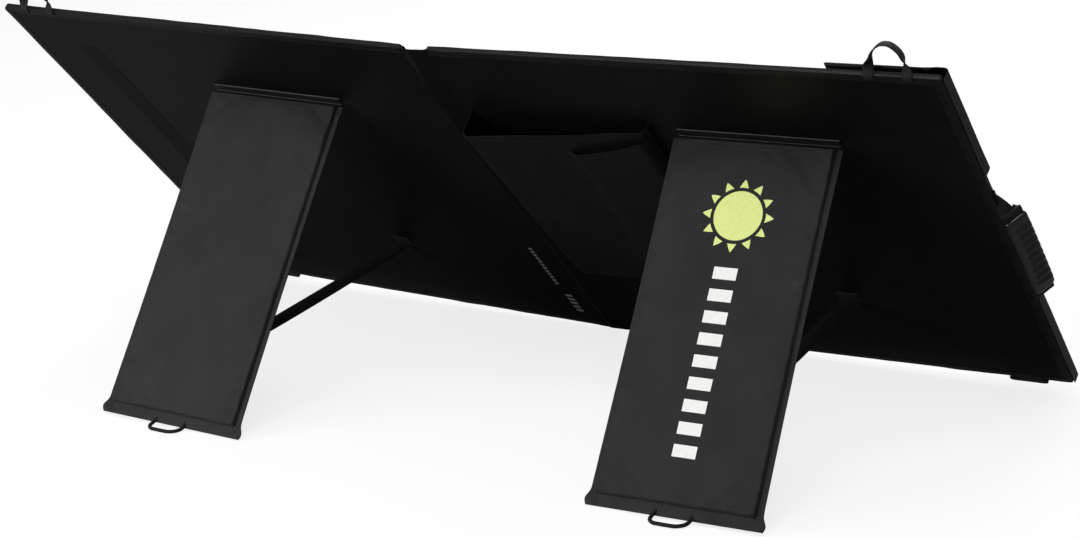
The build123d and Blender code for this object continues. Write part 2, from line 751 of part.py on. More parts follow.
# plug: a sleeve with a tapered nut behind and a collar in front, longer on the positive one
bend_radius, bore = 14.0, CABLE_RADIUS + CLEAR
nut_back, nut_front, nut_small, nut_large = -4.0, 10.0, 5.7, 6.7
waist_radius, collar_radius = 3.8, 6.0

for sign, name, collar_length in ((1, "positive", 14.0), (-1, "negative", 6.0)):
    route = [(LEFT * x, y) for x, y in cable_route(sign * CABLE_SPREAD)]
    cable_plane = half_plane(LEFT, CABLE_Z)
    first = cable_plane.from_local_coords((*route[0], 0))
    last = cable_plane.from_local_coords((*route[-1], 0))
    with BuildPart() as cable:
        with BuildLine(cable_plane):
            FilletPolyline(*route, radius=bend_radius)
        with BuildSketch(Plane(origin=first, x_dir=cable_plane.y_dir, z_dir=-cable_plane.x_dir)):
            Circle(CABLE_RADIUS)
        sweep()
    save(cable, f"{name}_cable")

    collar_back = PLUG_LENGTH - collar_length
    with BuildPart() as plug:
        with BuildSketch(Plane(origin=last, x_dir=cable_plane.x_dir, z_dir=cable_plane.z_dir)):
            Polygon(
                (bore, nut_back),
                (nut_small, nut_back),
                (nut_large, nut_front),
                (waist_radius, nut_front),
                (waist_radius, collar_back),
                (collar_radius, collar_back),
                (collar_radius, PLUG_LENGTH),
                (bore, PLUG_LENGTH),
                align=None,
            )
        revolve(axis=Axis(last, cable_plane.y_dir))
    save(plug, f"{name}_plug")
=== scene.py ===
import json
import math

import bmesh
import bpy
import numpy as np
from mathutils import Matrix, Vector
from mathutils.bvhtree import BVHTree


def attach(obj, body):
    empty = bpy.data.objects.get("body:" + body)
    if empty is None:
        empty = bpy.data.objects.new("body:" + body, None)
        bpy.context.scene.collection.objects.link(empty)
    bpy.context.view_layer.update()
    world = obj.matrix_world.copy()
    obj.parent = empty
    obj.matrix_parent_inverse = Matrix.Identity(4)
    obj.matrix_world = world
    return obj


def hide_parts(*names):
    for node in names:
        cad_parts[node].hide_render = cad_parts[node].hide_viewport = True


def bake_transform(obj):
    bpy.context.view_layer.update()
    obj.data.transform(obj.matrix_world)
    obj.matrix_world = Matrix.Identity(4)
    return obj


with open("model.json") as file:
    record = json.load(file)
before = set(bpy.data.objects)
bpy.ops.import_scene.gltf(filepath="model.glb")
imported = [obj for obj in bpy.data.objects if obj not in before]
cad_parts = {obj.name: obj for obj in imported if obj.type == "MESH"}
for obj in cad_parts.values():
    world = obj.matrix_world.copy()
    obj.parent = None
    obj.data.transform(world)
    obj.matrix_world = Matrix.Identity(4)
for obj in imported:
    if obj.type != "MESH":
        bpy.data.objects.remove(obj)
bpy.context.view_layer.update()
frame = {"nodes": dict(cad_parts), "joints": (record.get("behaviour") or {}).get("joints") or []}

# A folding camping solar panel, dressed over its CAD frame. The frame, and the floor, lights and
# camera at the end, are in metres. The lengths of the object's pieces are in millimetres, along axes
# fixed to one part of the object.

MM = 0.001
WORDS = ("left", "right")
JOINTS = {joint["name"]: joint for joint in frame["joints"]}


# ------------------------------------------------------------------ axes


class Local:
    """Axes fixed to one part of the object, with lengths along them in mm."""

    def __init__(self, origin, x, y, z):
        self.origin = np.array(origin, float)
        self.axes = np.array([x, y, z], float)

    def world(self, points):
        """Points along these axes, in metres in the frame."""
        return self.origin + np.asarray(points, float) * MM @ self.axes

    def local(self, points):
        """Points of the frame, in mm along these axes."""
        return (np.asarray(points, float) - self.origin) @ self.axes.T / MM

    def span(self, node):
        """Lowest and highest coordinates of a CAD node along these axes."""
        points = self.local([v.co for v in frame["nodes"][node].data.vertices])
        return points.min(0), points.max(0)

    def shifted(self, x, y, z):
        """The same axes from another origin."""
        return Local(self.world((x, y, z)), *self.axes)


def hinge_axis(joint):
    """Direction of a joint's hinge line."""
    return np.array(JOINTS[joint]["axis"], float)


def hinge_place(joint):
    """A point on a joint's hinge line, in metres."""
    return np.array(JOINTS[joint]["pos_m"], float)


UP = hinge_axis("flap_bend")
SIGN = {"left": -1, "right": 1}
HALF = {}       # x out from the fold, y up the slope, z from the back face to the cells
LEG = {}        # x out from the fold, y up the leg to its hinge line, z towards the panel
for word in WORDS:
    out = -SIGN[word] * hinge_axis(f"{word}_leg_hinge")
    half = Local(hinge_place("panel_fold"), out, UP, SIGN[word] * np.cross(out, UP))
    low = half.span(f"{word}_edge_binding")[0]
    back = half.span(f"{word}_back_cover")[0]
    HALF[word] = half.shifted(0, low[1], back[2])
    board = np.array([v.co for v in frame["nodes"][f"{word}_leg_board"].data.vertices])
    hinge = hinge_place(f"{word}_leg_hinge")
    along = np.linalg.svd(board - board.mean(0))[2][0]
    along = along * np.sign(along @ (hinge - board.mean(0)))
    LEG[word] = Local(hinge, out, along, SIGN[word] * np.cross(out, along))

across = np.array([1.0, 0.0, 0.0])
fold_axes = Local(hinge_place("panel_fold"), across, UP, np.cross(across, UP))
FOLD = fold_axes.shifted(
    0,
    fold_axes.span("fold_strip_front")[0][1],
    fold_axes.span("fold_strip_back")[0][2],
)

WIDTH, HEIGHT = HALF["left"].span("left_edge_binding")[1][:2]
FRONT = HALF["left"].span("left_front_bezel")[1][2]
CORNER = 6.0            # radius of the bound corners
GAP = HALF["left"].span("left_back_cover")[0][0]    # from the fold's centre to each half's cloth


# ------------------------------------------------------------------ mesh building


def smooth(t):
    """From 0 to 1, slow at both ends."""
    t = np.clip(t, 0, 1)
    return t * t * (3 - 2 * t)


def waves(x, y, size, seed, octaves=6):
    """Gentle unevenness between about -1 and 1, whose swells are about size mm wide."""
    draw = np.random.default_rng(seed)
    total = np.zeros(np.broadcast(x, y).shape)
    for _ in range(octaves):
        turn, phase = draw.uniform(0, 2 * np.pi, 2)
        rate = 2 * np.pi / (size * draw.uniform(0.6, 1.7))
        total += np.sin(rate * (x * np.cos(turn) + y * np.sin(turn)) + phase)
    return total / octaves * 1.6


def quads(rows, columns, first=0, wrap_rows=False, wrap_columns=False):
    """Faces of a grid of points numbered from first, row by row."""
    index = first + np.arange(rows * columns).reshape(rows, columns)
    if wrap_rows:
        index = np.vstack([index, index[:1]])
    if wrap_columns:
        index = np.hstack([index, index[:, :1]])
    corners = (index[:-1, :-1], index[1:, :-1], index[1:, 1:], index[:-1, 1:])
    return np.stack([c.ravel() for c in corners], 1).tolist()


def walls(rims, count):
    """Faces from each rim of a grid to the same rim of a second grid, numbered count further on."""
    pairs = [pair for rim in rims for pair in zip(rim, rim[1:])]
    return [[int(a), int(b), int(b + count), int(a + count)] for a, b in pairs]


def piece(name, points, faces, cloth, material, sharp=40):
    """A closed mesh from world points. cloth holds each point's place on the cloth, in mm."""
    mesh = bpy.data.meshes.new(name)
    mesh.from_pydata(np.asarray(points, float).tolist(), [], faces)
    place = mesh.attributes.new("cloth", "FLOAT_VECTOR", "POINT")
    place.data.foreach_set("vector", np.asarray(cloth, np.float32).ravel())
    shape = bmesh.new()
    shape.from_mesh(mesh)
    bmesh.ops.recalc_face_normals(shape, faces=shape.faces)
    shape.to_mesh(mesh)
    shape.free()
    mesh.polygons.foreach_set("use_smooth", [True] * len(mesh.polygons))
    mesh.set_sharp_from_angle(angle=math.radians(sharp))
    mesh.materials.append(material)
    made = bpy.data.objects.new(name, mesh)
    bpy.context.scene.collection.objects.link(made)
    return made


def shell(name, axes, outer, inner, material, loop=False, cloth=None, sharp=40):
    """A sheet with thickness between two grids of points (rows, columns, 3)."""
    rows, columns = outer.shape[:2]
    count = rows * columns
    faces = quads(rows, columns, 0, loop) + quads(rows, columns, count, loop)
    index = np.arange(count).reshape(rows, columns)
    rims = [index[:, 0], index[:, -1]]
    if loop:
        rims = [np.append(rim, rim[0]) for rim in rims]
    else:
        rims += [index[0], index[-1]]
    faces += walls(rims, count)
    points = np.concatenate([outer.reshape(-1, 3), inner.reshape(-1, 3)])
    if cloth is None:
        cloth = points
    else:
        cloth = np.concatenate([cloth.reshape(-1, 3)] * 2)
    return piece(name, axes.world(points), faces, cloth, material, sharp)


def tube(name, axes, rings, material, sharp=40):
    """A solid swept through rings of points (rings, points, 3), with closed ends."""
    count, around = rings.shape[:2]
    faces = quads(count, around, wrap_columns=True)
    points = rings.reshape(-1, 3)
    middles = rings.mean(1)
    steps = np.linalg.norm(np.diff(middles, axis=0), axis=1)
    length = np.concatenate([[0], np.cumsum(steps)])
    girth = np.linalg.norm(np.diff(rings, axis=1), axis=2).mean(0)
    girth = np.concatenate([[0], np.cumsum(girth)])
    cloth = np.zeros((count, around, 3))
    cloth[..., 0] = length[:, None]
    cloth[..., 1] = girth[None, :]
    cloth = cloth.reshape(-1, 3)
    total = len(points)
    points = np.concatenate([points, middles[:1], middles[-1:]])
    cloth = np.concatenate([cloth, cloth[:1], cloth[-1:]])
    last = (count - 1) * around
    for k in range(around):
        nxt = (k + 1) % around
        faces.append([k, nxt, total])
        faces.append([last + k, last + nxt, total + 1])
    return piece(name, axes.world(points), faces, cloth, material, sharp)


def bar_section(width, thickness, rounding=0.45, count=3):
    """Points round a flat strap's cross-section, its width along the first axis."""
    radius = thickness * rounding
    points = []
    for k, (sx, sy) in enumerate(((1, 1), (-1, 1), (-1, -1), (1, -1))):
        for step in range(count):
            turn = math.radians(90 * k + 90 * step / (count - 1))
            points.append(
                (
                    sx * (width / 2 - radius) + radius * math.cos(turn),
                    sy * (thickness / 2 - radius) + radius * math.sin(turn),
                )
            )
    return np.array(points)


def unit(vectors):
    """The vectors at a length of 1."""
    return vectors / np.linalg.norm(vectors, axis=-1, keepdims=True)


def strap_rings(path, wide, section):
    """Rings of a strap along path; wide holds the direction of its width at each point."""
    ahead = unit(np.gradient(path, axis=0))
    wide = unit(wide - (wide * ahead).sum(1, keepdims=True) * ahead)
    thick = np.cross(ahead, wide)
    return (
        path[:, None]
        + section[None, :, :1] * wide[:, None]
        + section[None, :, 1:] * thick[:, None]
    )


def spline(points, count):
    """A smooth curve through points, at count even steps of their chord length."""
    points = np.asarray(points, float)
    chord = np.concatenate([[0], np.cumsum(np.linalg.norm(np.diff(points, axis=0), axis=1))])
    padded = np.concatenate(
        [2 * points[:1] - points[1:2], points, 2 * points[-1:] - points[-2:-1]]
    )
    at = np.linspace(0, chord[-1], count)
    k = np.clip(np.searchsorted(chord, at, side="right") - 1, 0, len(points) - 2)
    t = ((at - chord[k]) / (chord[k + 1] - chord[k]))[:, None]
    a, b, c, d = padded[k], padded[k + 1], padded[k + 2], padded[k + 3]
    return 0.5 * (
        2 * b + (c - a) * t + (2 * a - 5 * b + 4 * c - d) * t**2 + (3 * b - a - 3 * c + d) * t**3
    )


def arc(centre, radius, turns):
    """Points on a circle at the given angles."""
    return [(centre[0] + radius * math.cos(t), centre[1] + radius * math.sin(t)) for t in turns]


def even(path, pitch):
    """Points at even steps of about pitch along a polyline."""
    path = np.asarray(path, float)
    chord = np.concatenate([[0], np.cumsum(np.linalg.norm(np.diff(path, axis=0), axis=1))])
    at = np.linspace(0, chord[-1], max(2, int(round(chord[-1] / pitch)) + 1))
    return np.stack([np.interp(at, chord, path[:, k]) for k in range(path.shape[1])], 1)


STITCH_RING = np.array([(math.cos(a), math.sin(a)) for a in np.arange(6) * math.pi / 3])
# rings of one stitch: place along it, rise out of the cloth, and thickness, as shares of its size
STITCH_STEPS = (
    (-0.5, -0.9, 0.5), (-0.36, 0.1, 1.0), (0.0, 0.35, 1.0), (0.36, 0.1, 1.0), (0.5, -0.9, 0.5),
)


def stitches(name, seams, material, pitch=4.2, length=3.0, radius=0.3):
    """Rows of thread. Each seam is (axes, path along the cloth, direction out of the cloth)."""
    rings = []
    for axes, path, outward in seams:
        ends = even(path, pitch)
        middle = (ends[1:] + ends[:-1]) / 2
        ahead = unit(ends[1:] - ends[:-1])
        out = np.broadcast_to(np.asarray(outward, float), ahead.shape)
        out = unit(out - (out * ahead).sum(1, keepdims=True) * ahead)
        beside = np.cross(ahead, out)
        thread = []
        for along, rise, size in STITCH_STEPS:
            centre = middle + ahead * along * length + out * rise * radius
            ring = centre[:, None] + radius * size * (
                STITCH_RING[None, :, :1] * beside[:, None]
                + STITCH_RING[None, :, 1:] * out[:, None]
            )
            thread.append(ring)
        thread = np.stack(thread, 1)
        rings.append(axes.world(thread))
    rings = np.concatenate(rings)
    count, steps, around = rings.shape[:3]
    one = quads(steps, around, wrap_columns=True)
    one.append(list(range(around))[::-1])
    one.append([(steps - 1) * around + k for k in range(around)])
    faces = []
    for k in range(count):
        shift = k * steps * around
        faces += [[shift + index for index in face] for face in one]
    points = rings.reshape(-1, 3)
    cloth = np.tile(
        np.stack(np.meshgrid(np.arange(steps), np.arange(around), [0], indexing="ij"), -1)
        .reshape(-1, 3).astype(float),
        (count, 1),
    )
    return piece(name, points, faces, cloth, material, 80)


def settle(made, body, *nodes):
    """Let a piece ride on a body, and stand for the CAD nodes it replaces."""
    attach(made, body)
    if nodes:
        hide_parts(*nodes)


def surface_of(*objects):
    """What casts rays onto made pieces, for laying stitches and prints on them."""
    points, faces = [], []
    for made in objects:
        first = len(points)
        points += [v.co.copy() for v in made.data.vertices]
        faces += [[first + v for v in p.vertices] for p in made.data.polygons]
    return BVHTree.FromPolygons(points, faces)


def laid(surface, axes, points, lift=0.0, reach=60.0, side=-1):
    """Points dropped onto a surface along the local z, lift above it."""
    points = np.asarray(points, float)
    result = points.copy()
    way = Vector(axes.axes[2] * -side)
    flat = points.reshape(-1, 3)
    found = result.reshape(-1, 3)
    for k, point in enumerate(flat):
        start = point.copy()
        start[2] = side * reach
        hit = surface.ray_cast(Vector(axes.world(start)), way)[0]
        if hit is not None:
            found[k] = axes.local(hit)
            found[k][2] += side * lift
    return found.reshape(points.shape)


def sewn(surface, axes, x, y):
    """A seam along x and y, laid on the back of a surface, as stitches() takes it."""
    x, y = np.broadcast_arrays(x, y)
    return axes, laid(surface, axes, np.column_stack([x, y, 0 * x]), 0.05), (0, 0, -1)


def puff(made, pinned, pressure, cap, shrink=0.0, steps=20):
    """Cloth simulation: pinned points hold, the rest swells and no point moves more than cap mm."""
    mesh = made.data
    rest = np.array([v.co for v in mesh.vertices])
    group = made.vertex_groups.new(name="pin")
    group.add(np.flatnonzero(pinned).tolist(), 1.0, "REPLACE")
    cloth = made.modifiers.new("Cloth", "CLOTH")
    settings = cloth.settings
    settings.quality = 6
    settings.mass = 0.25
    settings.tension_stiffness = 18
    settings.compression_stiffness = 18
    settings.shear_stiffness = 8
    settings.bending_stiffness = 0.6
    settings.vertex_group_mass = "pin"
    settings.use_pressure = True
    settings.uniform_pressure_force = pressure
    settings.shrink_min = shrink
    settings.effector_weights.gravity = 0
    cloth.collision_settings.use_collision = False
    scene = bpy.context.scene
    scene.frame_start, scene.frame_end = 1, steps
    cloth.point_cache.frame_start, cloth.point_cache.frame_end = 1, steps
    for step in range(1, steps + 1):
        scene.frame_set(step)
    graph = bpy.context.evaluated_depsgraph_get()
    result = np.array([v.co for v in made.evaluated_get(graph).data.vertices])
    move = result - rest
    size = np.linalg.norm(move, axis=1, keepdims=True)
    limit = cap * MM
    move *= np.tanh(size / limit) * limit / np.maximum(size, 1e-9)
    made.modifiers.remove(cloth)
    made.vertex_groups.remove(group)
    mesh.vertices.foreach_set("co", (rest + move).astype(np.float32).ravel())
    mesh.update()
    scene.frame_set(1)


# ------------------------------------------------------------------ materials


class Nodes:
    """Short calls for building one node material."""

    def __init__(self, name):
        self.material = bpy.data.materials.new(name)
        self.material.use_nodes = True
        self.tree = self.material.node_tree
        self.shader = self.tree.nodes["Principled BSDF"]

    def add(self, kind, inputs=None, output=0, **settings):
        """A new node with its inputs filled in; gives back one output."""
        node = self.tree.nodes.new(kind)
        for key, value in settings.items():
            setattr(node, key, value)
        for key, value in (inputs or {}).items():
            self.put(node.inputs[key], value)
        return node.outputs[output]

    def put(self, socket, value):
        """Link another node's output to a socket, or set a plain value."""
        if isinstance(value, bpy.types.NodeSocket):
            self.tree.links.new(value, socket)
        else:
            socket.default_value = value

    def split(self, where):
        """A place taken apart into its coordinates."""
        node = self.tree.nodes.new("ShaderNodeSeparateXYZ")
        self.put(node.inputs[0], where)
        return node.outputs

    def math(self, operation, *values):
        """One arithmetic step."""
        return self.add("ShaderNodeMath", dict(enumerate(values)), operation=operation)

    def ramp(self, value, low, high):
        """0 below low and 1 above high."""
        return self.add(
            "ShaderNodeMapRange", {"Value": value, "From Min": low, "From Max": high}
        )

    def mix(self, factor, a, b):
        """Colour a at factor 0 and b at factor 1."""
        node = self.tree.nodes.new("ShaderNodeMix")
        node.data_type = "RGBA"
        self.put(node.inputs[0], factor)
        self.put(node.inputs[6], a)
        self.put(node.inputs[7], b)
        return node.outputs[2]

    def noise(self, where, scale, detail=3.0, roughness=0.55):
        """Cloudy values around one half."""
        return self.add(
            "ShaderNodeTexNoise",
            {"Vector": where, "Scale": scale, "Detail": detail, "Roughness": roughness},
        )

    def bump(self, height, distance, strength=1.0, normal=None):
        """A surface direction tilted by a height, on top of another if one is given."""
        inputs = {"Height": height, "Distance": distance, "Strength": strength}
        if normal is not None:
            inputs["Normal"] = normal
        return self.add("ShaderNodeBump", inputs)

    def surface(self, **inputs):
        """Set some of the shader's inputs and give back the material."""
        for key, value in inputs.items():
            self.put(self.shader.inputs[key.replace("_", " ")], value)
        return self.material


def grey(level, warm=0.0):
    """A neutral colour, or a slightly warm one."""
    return (level * (1 + warm), level, level * (1 - warm), 1.0)


def cloth_place(nodes):
    """Each point's place on its cloth, in mm."""
    return nodes.add("ShaderNodeAttribute", output=1, attribute_name="cloth")


def object_place(nodes, scale=1000.0):
    """Each point's place in space, in mm unless scale says otherwise."""
    where = nodes.add("ShaderNodeTexCoord", output=3)
    return nodes.add(
        "ShaderNodeVectorMath", {0: where, "Scale": scale}, operation="SCALE"
    )


def woven(name, dark, light, pitch, relief, roughness, gloss=0.35, sheen=0.0, dust=0.0, swell=0.0):
    """Plain-woven cloth: threads of pitch mm, cloudy shade, scuffs and a little dust, and painted shade
    where the weave's threads dip.
    """
    n = Nodes(name)
    place = cloth_place(n)
    wander = n.noise(place, 0.11, 2.0)
    split = n.split(place)
    rate = 2 * math.pi / pitch
    along = n.math("SINE", n.math("MULTIPLY_ADD", split[0], rate, wander))
    over = n.math("SINE", n.math("MULTIPLY_ADD", split[1], rate, wander))
    threads = n.math("MULTIPLY", along, over)
    fibre = n.noise(place, 1.6, 4.0, 0.7)
    height = n.math("MULTIPLY_ADD", threads, 0.5, fibre)
    cloudy = n.noise(place, 0.018, 4.0, 0.6)
    speckle = n.ramp(n.noise(place, 0.5, 3.0, 0.7), 0.4, 0.75)
    shade = n.math("MULTIPLY_ADD", speckle, 0.25, n.ramp(cloudy, 0.3, 0.72))
    colour = n.mix(shade, dark, light)
    scuff = n.ramp(n.noise(place, 0.06, 6.0, 0.75), 0.62, 0.8)
    colour = n.mix(n.math("MULTIPLY", scuff, dust), colour, grey(0.2, 0.03))
    # painted shade: the colour darkens at the weave's low points, following the same thread height as
    # the bump
    painted_weave_shade = n.math("MULTIPLY_ADD", threads, 0.12, 0.9)
    colour = n.mix(n.math("SUBTRACT", 1.0, painted_weave_shade), colour, grey(0.0))
    rough = n.math("MULTIPLY_ADD", cloudy, 0.18, roughness - 0.09)
    normal = n.bump(height, relief * MM, 0.7)
    if swell:
        normal = n.bump(n.noise(place, 0.03, 2.0), swell * MM, 1.0, normal)
    n.surface(Base_Color=colour, Roughness=rough, Normal=normal)
    return n.surface(Specular_IOR_Level=gloss, Sheen_Weight=sheen, Sheen_Roughness=0.4)


def ribbed(name, dark, light, pitch, relief, roughness, gloss=0.35):
    """Ribbed tape or webbing: cross ribs of pitch mm along its length, and thread grain, with painted
    shade in the rib grooves and a painted highlight on the rib crests.
    """
    n = Nodes(name)
    place = cloth_place(n)
    split = n.split(place)
    ribs = n.math("SINE", n.math("MULTIPLY", split[0], 2 * math.pi / pitch))
    strands = n.math("SINE", n.math("MULTIPLY", split[1], 2 * math.pi / (pitch * 0.7)))
    fibre = n.noise(place, 2.2, 3.0, 0.7)
    height = n.math("ADD", ribs, n.math("MULTIPLY_ADD", strands, 0.3, fibre))
    cloudy = n.noise(place, 0.05, 4.0, 0.65)
    # painted shade and highlight: the rib height darkens the grooves and lightens the crests, on top of
    # random cloudy tone
    shade = n.math("MULTIPLY_ADD", ribs, 0.18, n.ramp(cloudy, 0.25, 0.75))
    colour = n.mix(shade, dark, light)
    n.surface(Base_Color=colour, Roughness=roughness, Normal=n.bump(height, relief * MM, 0.8))
    return n.surface(Specular_IOR_Level=gloss)


def moulded(name, dark, light, roughness, grain, relief, place=object_place):
    """Moulded plastic or rubber: fine grain, soft mottling and rubbed high spots."""
    n = Nodes(name)
    where = place(n)
    fine = n.noise(where, grain, 4.0, 0.6)
    cloudy = n.noise(where, 0.05, 3.0, 0.6)
    edge = n.add("ShaderNodeNewGeometry", output=7)
    worn = n.math("MULTIPLY", n.ramp(edge, 0.52, 0.62), n.ramp(fine, 0.35, 0.7))
    colour = n.mix(n.ramp(cloudy, 0.3, 0.7), dark, light)
    colour = n.mix(n.math("MULTIPLY", worn, 0.35), colour, grey(0.12))
    rough = n.math("MULTIPLY_ADD", cloudy, 0.2, roughness - 0.1)
    n.surface(Base_Color=colour, Roughness=rough, Normal=n.bump(fine, relief * MM, 0.6))
    return n.surface(Specular_IOR_Level=0.5)


def printed(name, colour, worn):
    """Screen print on cloth: a little uneven, with the weave showing through."""
    n = Nodes(name)
    place = cloth_place(n)
    split = n.split(place)
    rate = 2 * math.pi / 0.9
    threads = n.math(
        "MULTIPLY",
        n.math("SINE", n.math("MULTIPLY", split[0], rate)),
        n.math("SINE", n.math("MULTIPLY", split[1], rate)),
    )
    patch = n.ramp(n.noise(place, 0.25, 5.0, 0.7), 0.35, 0.8)
    shade = n.mix(n.math("MULTIPLY", patch, worn), colour, tuple(c * 0.55 for c in colour[:3]) + (1,))
    n.surface(Base_Color=shade, Roughness=0.62, Normal=n.bump(threads, 0.04 * MM, 0.6))
    return n.surface(Specular_IOR_Level=0.3)


def cell_material():
    """Back-contact silicon: deep blue-black, each plate a shade apart, with a faint sheen."""
    n = Nodes("silicon")
    place = object_place(n)
    plate = n.add("ShaderNodeTexVoronoi", {"Vector": place, "Scale": 1 / 127.0}, output=1)
    cloudy = n.noise(place, 0.02, 3.0, 0.5)
    base = n.mix(n.ramp(cloudy, 0.3, 0.7), (0.006, 0.008, 0.018, 1), (0.010, 0.014, 0.032, 1))
    colour = n.mix(0.12, base, plate)
    colour = n.mix(0.9, colour, base)
    normal = n.bump(n.noise(place, 0.9, 2.0), 0.01 * MM)
    return n.surface(Base_Color=colour, Roughness=0.28, Normal=normal, Coat_Weight=0.3)


def film_material():
    """Clear front film with a fine dimpled face."""
    n = Nodes("dimpled_film")
    place = object_place(n)
    cells = n.add(
        "ShaderNodeTexVoronoi", {"Vector": place, "Scale": 0.55}, output=0, feature="SMOOTH_F1"
    )
    smear = n.noise(place, 0.012, 5.0, 0.6)
    rough = n.math("MULTIPLY_ADD", smear, 0.16, 0.16)
    glossy = n.add(
        "ShaderNodeBsdfGlossy",
        {"Color": grey(0.9), "Roughness": rough, "Normal": n.bump(cells, 0.12 * MM, 0.5)},
    )
    clear = n.add("ShaderNodeBsdfTransparent", {"Color": grey(0.96)})
    facing = n.add("ShaderNodeFresnel", {"IOR": 1.42})
    mixed = n.add("ShaderNodeMixShader", {0: facing, 1: clear, 2: glossy})
    output = n.tree.nodes["Material Output"]
    n.tree.links.new(mixed, output.inputs["Surface"])
    return n.material


def metal_material():
    """Tinned copper ribbon with dull streaks."""
    n = Nodes("tinned_ribbon")
    place = object_place(n)
    streak = n.noise(place, 0.8, 5.0, 0.7)
    colour = n.mix(n.ramp(streak, 0.3, 0.7), grey(0.45, 0.02), grey(0.66, 0.01))
    rough = n.math("MULTIPLY_ADD", streak, 0.2, 0.25)
    return n.surface(Base_Color=colour, Roughness=rough, Metallic=1.0)


def pile(name, dark, light):
    """Hook or loop tape: a dense pile of tiny tufts."""
    n = Nodes(name)
    place = cloth_place(n)
    tufts = n.add("ShaderNodeTexVoronoi", {"Vector": place, "Scale": 1.3}, output=0)
    cloudy = n.noise(place, 0.08, 4.0, 0.6)
    colour = n.mix(n.ramp(cloudy, 0.3, 0.7), dark, light)
    n.surface(Base_Color=colour, Roughness=0.85, Normal=n.bump(tufts, 0.5 * MM, 0.9))
    return n.surface(Specular_IOR_Level=0.2)


BACK_CLOTH = woven(
    "coated_back_cloth", grey(0.0020), grey(0.0044), 0.7, 0.025, 0.46, gloss=0.13, dust=0.02, swell=0.3
)
LEG_CLOTH = woven(
    "woven_leg_cloth", grey(0.0105), grey(0.0210), 0.9, 0.09, 0.7, gloss=0.22, sheen=0.04, dust=0.10
)
POCKET_CLOTH = woven(
    "pocket_cloth", grey(0.003), grey(0.0065), 0.7, 0.04, 0.5, gloss=0.18, dust=0.03, swell=0.25
)
TAPE = ribbed("binding_tape", grey(0.0022), grey(0.0048), 1.1, 0.05, 0.42, gloss=0.3)
WEBBING = ribbed("ribbed_webbing", grey(0.006), grey(0.016), 1.6, 0.25, 0.6, gloss=0.22)
CORD = ribbed("braided_cord", grey(0.006), grey(0.016), 1.4, 0.3, 0.6, gloss=0.22)
THREAD = ribbed("thread", grey(0.006), grey(0.014), 1.0, 0.05, 0.55, gloss=0.2)
LEG_THREAD = ribbed("leg_thread", grey(0.03), grey(0.06), 1.0, 0.05, 0.55, gloss=0.2)
PILE = pile("tape_pile", grey(0.002), grey(0.0045))
LIME = printed("lime_print", (0.72, 0.80, 0.28, 1), 0.3)
WHITE = printed("white_print", (0.86, 0.86, 0.84, 1), 0.3)
DIM_PRINT = printed("small_print", (0.30, 0.30, 0.29, 1), 0.8)
RUBBER = moulded("grip_rubber", grey(0.005), grey(0.010), 0.24, 1.2, 0.05, cloth_place)
PLASTIC = moulded("housing_plastic", grey(0.008), grey(0.015), 0.5, 1.5, 0.06)
CABLE = moulded("cable_rubber", grey(0.006), grey(0.012), 0.5, 0.8, 0.04)
SHEET = moulded("plain_sheet", grey(0.26), grey(0.36), 0.6, 0.6, 0.05)
BACKSHEET = moulded("matt_laminate", grey(0.006), grey(0.011), 0.55, 0.9, 0.03)
CIRCUIT = moulded("circuit_board", (0.01, 0.08, 0.03, 1), (0.02, 0.13, 0.05, 1), 0.4, 0.8, 0.02)
SILICON = cell_material()
FILM = film_material()
RIBBON = metal_material()

CAD_LOOKS = {
    "stiffener_board": SHEET,
    "laminate_backsheet": BACKSHEET,
    "solar_cells": SILICON,
    "cell_ribbons": RIBBON,
    "front_film": FILM,
    "leg_board": SHEET,
    "flap_stiffener": SHEET,
    "junction_box_base": PLASTIC,
    "junction_box_lid": PLASTIC,
    "diode_board": CIRCUIT,
    "bypass_diodes": PLASTIC,
    "cable_gland": CABLE,
    "positive_cable": CABLE,
    "negative_cable": CABLE,
    "positive_plug": PLASTIC,
    "negative_plug": PLASTIC,
}
for name, node in frame["nodes"].items():
    plain = name.replace("left_", "").replace("right_", "")
    if plain in CAD_LOOKS:
        node.data.materials.clear()
        node.data.materials.append(CAD_LOOKS[plain])


# ------------------------------------------------------------------ the two halves

SHEET_EDGE = 1.6        # the back sheet ends this far inside the bound edge
LEAF = 10.0             # the binding laps this far over each face
BIND = 0.5              # thickness of the binding tape
LOOP_WIDTH = 9.6        # webbing of the corner loops
LOOP_LEAN = 30          # degrees that the top loops lean to the front
BEZEL_LAP = 4.0         # the bezel's inner edge stands this far outside the cells


def edge_path(inset, start=GAP + 2.0, step=8.0):
    """The bound edge, drawn in by inset: along the bottom, up the outer edge, along the top."""
    radius = max(CORNER - inset, 0.4)
    right, low, high = WIDTH - inset, inset, HEIGHT - inset
    flat = int((WIDTH - start) / step)
    tall = int(HEIGHT / step)
    turns = np.radians(np.linspace(-90, 0, 9)[1:-1])
    points = [(c, low) for c in np.linspace(start, right - radius, flat)]
    points += arc((right - radius, low + radius), radius, turns)
    points += [(right, h) for h in np.linspace(low + radius, high - radius, tall)]
    points += arc((right - radius, high - radius), radius, turns + np.pi / 2)
    points += [(c, high) for c in np.linspace(right - radius, start, flat)]
    return np.array(points)


def back_swell(word, c, h):
    """How far the back cloth stands behind its board, in mm."""
    seed = 11 if word == "left" else 12
    level = 0.22 + 0.16 * waves(c, h, 150, seed) + 0.07 * waves(c, h, 38, seed + 5)
    near_edge = np.minimum.reduce([c - GAP, WIDTH - c, h, HEIGHT - h])
    return np.maximum(level, 0.0) * smooth(near_edge / 26) - 0.05


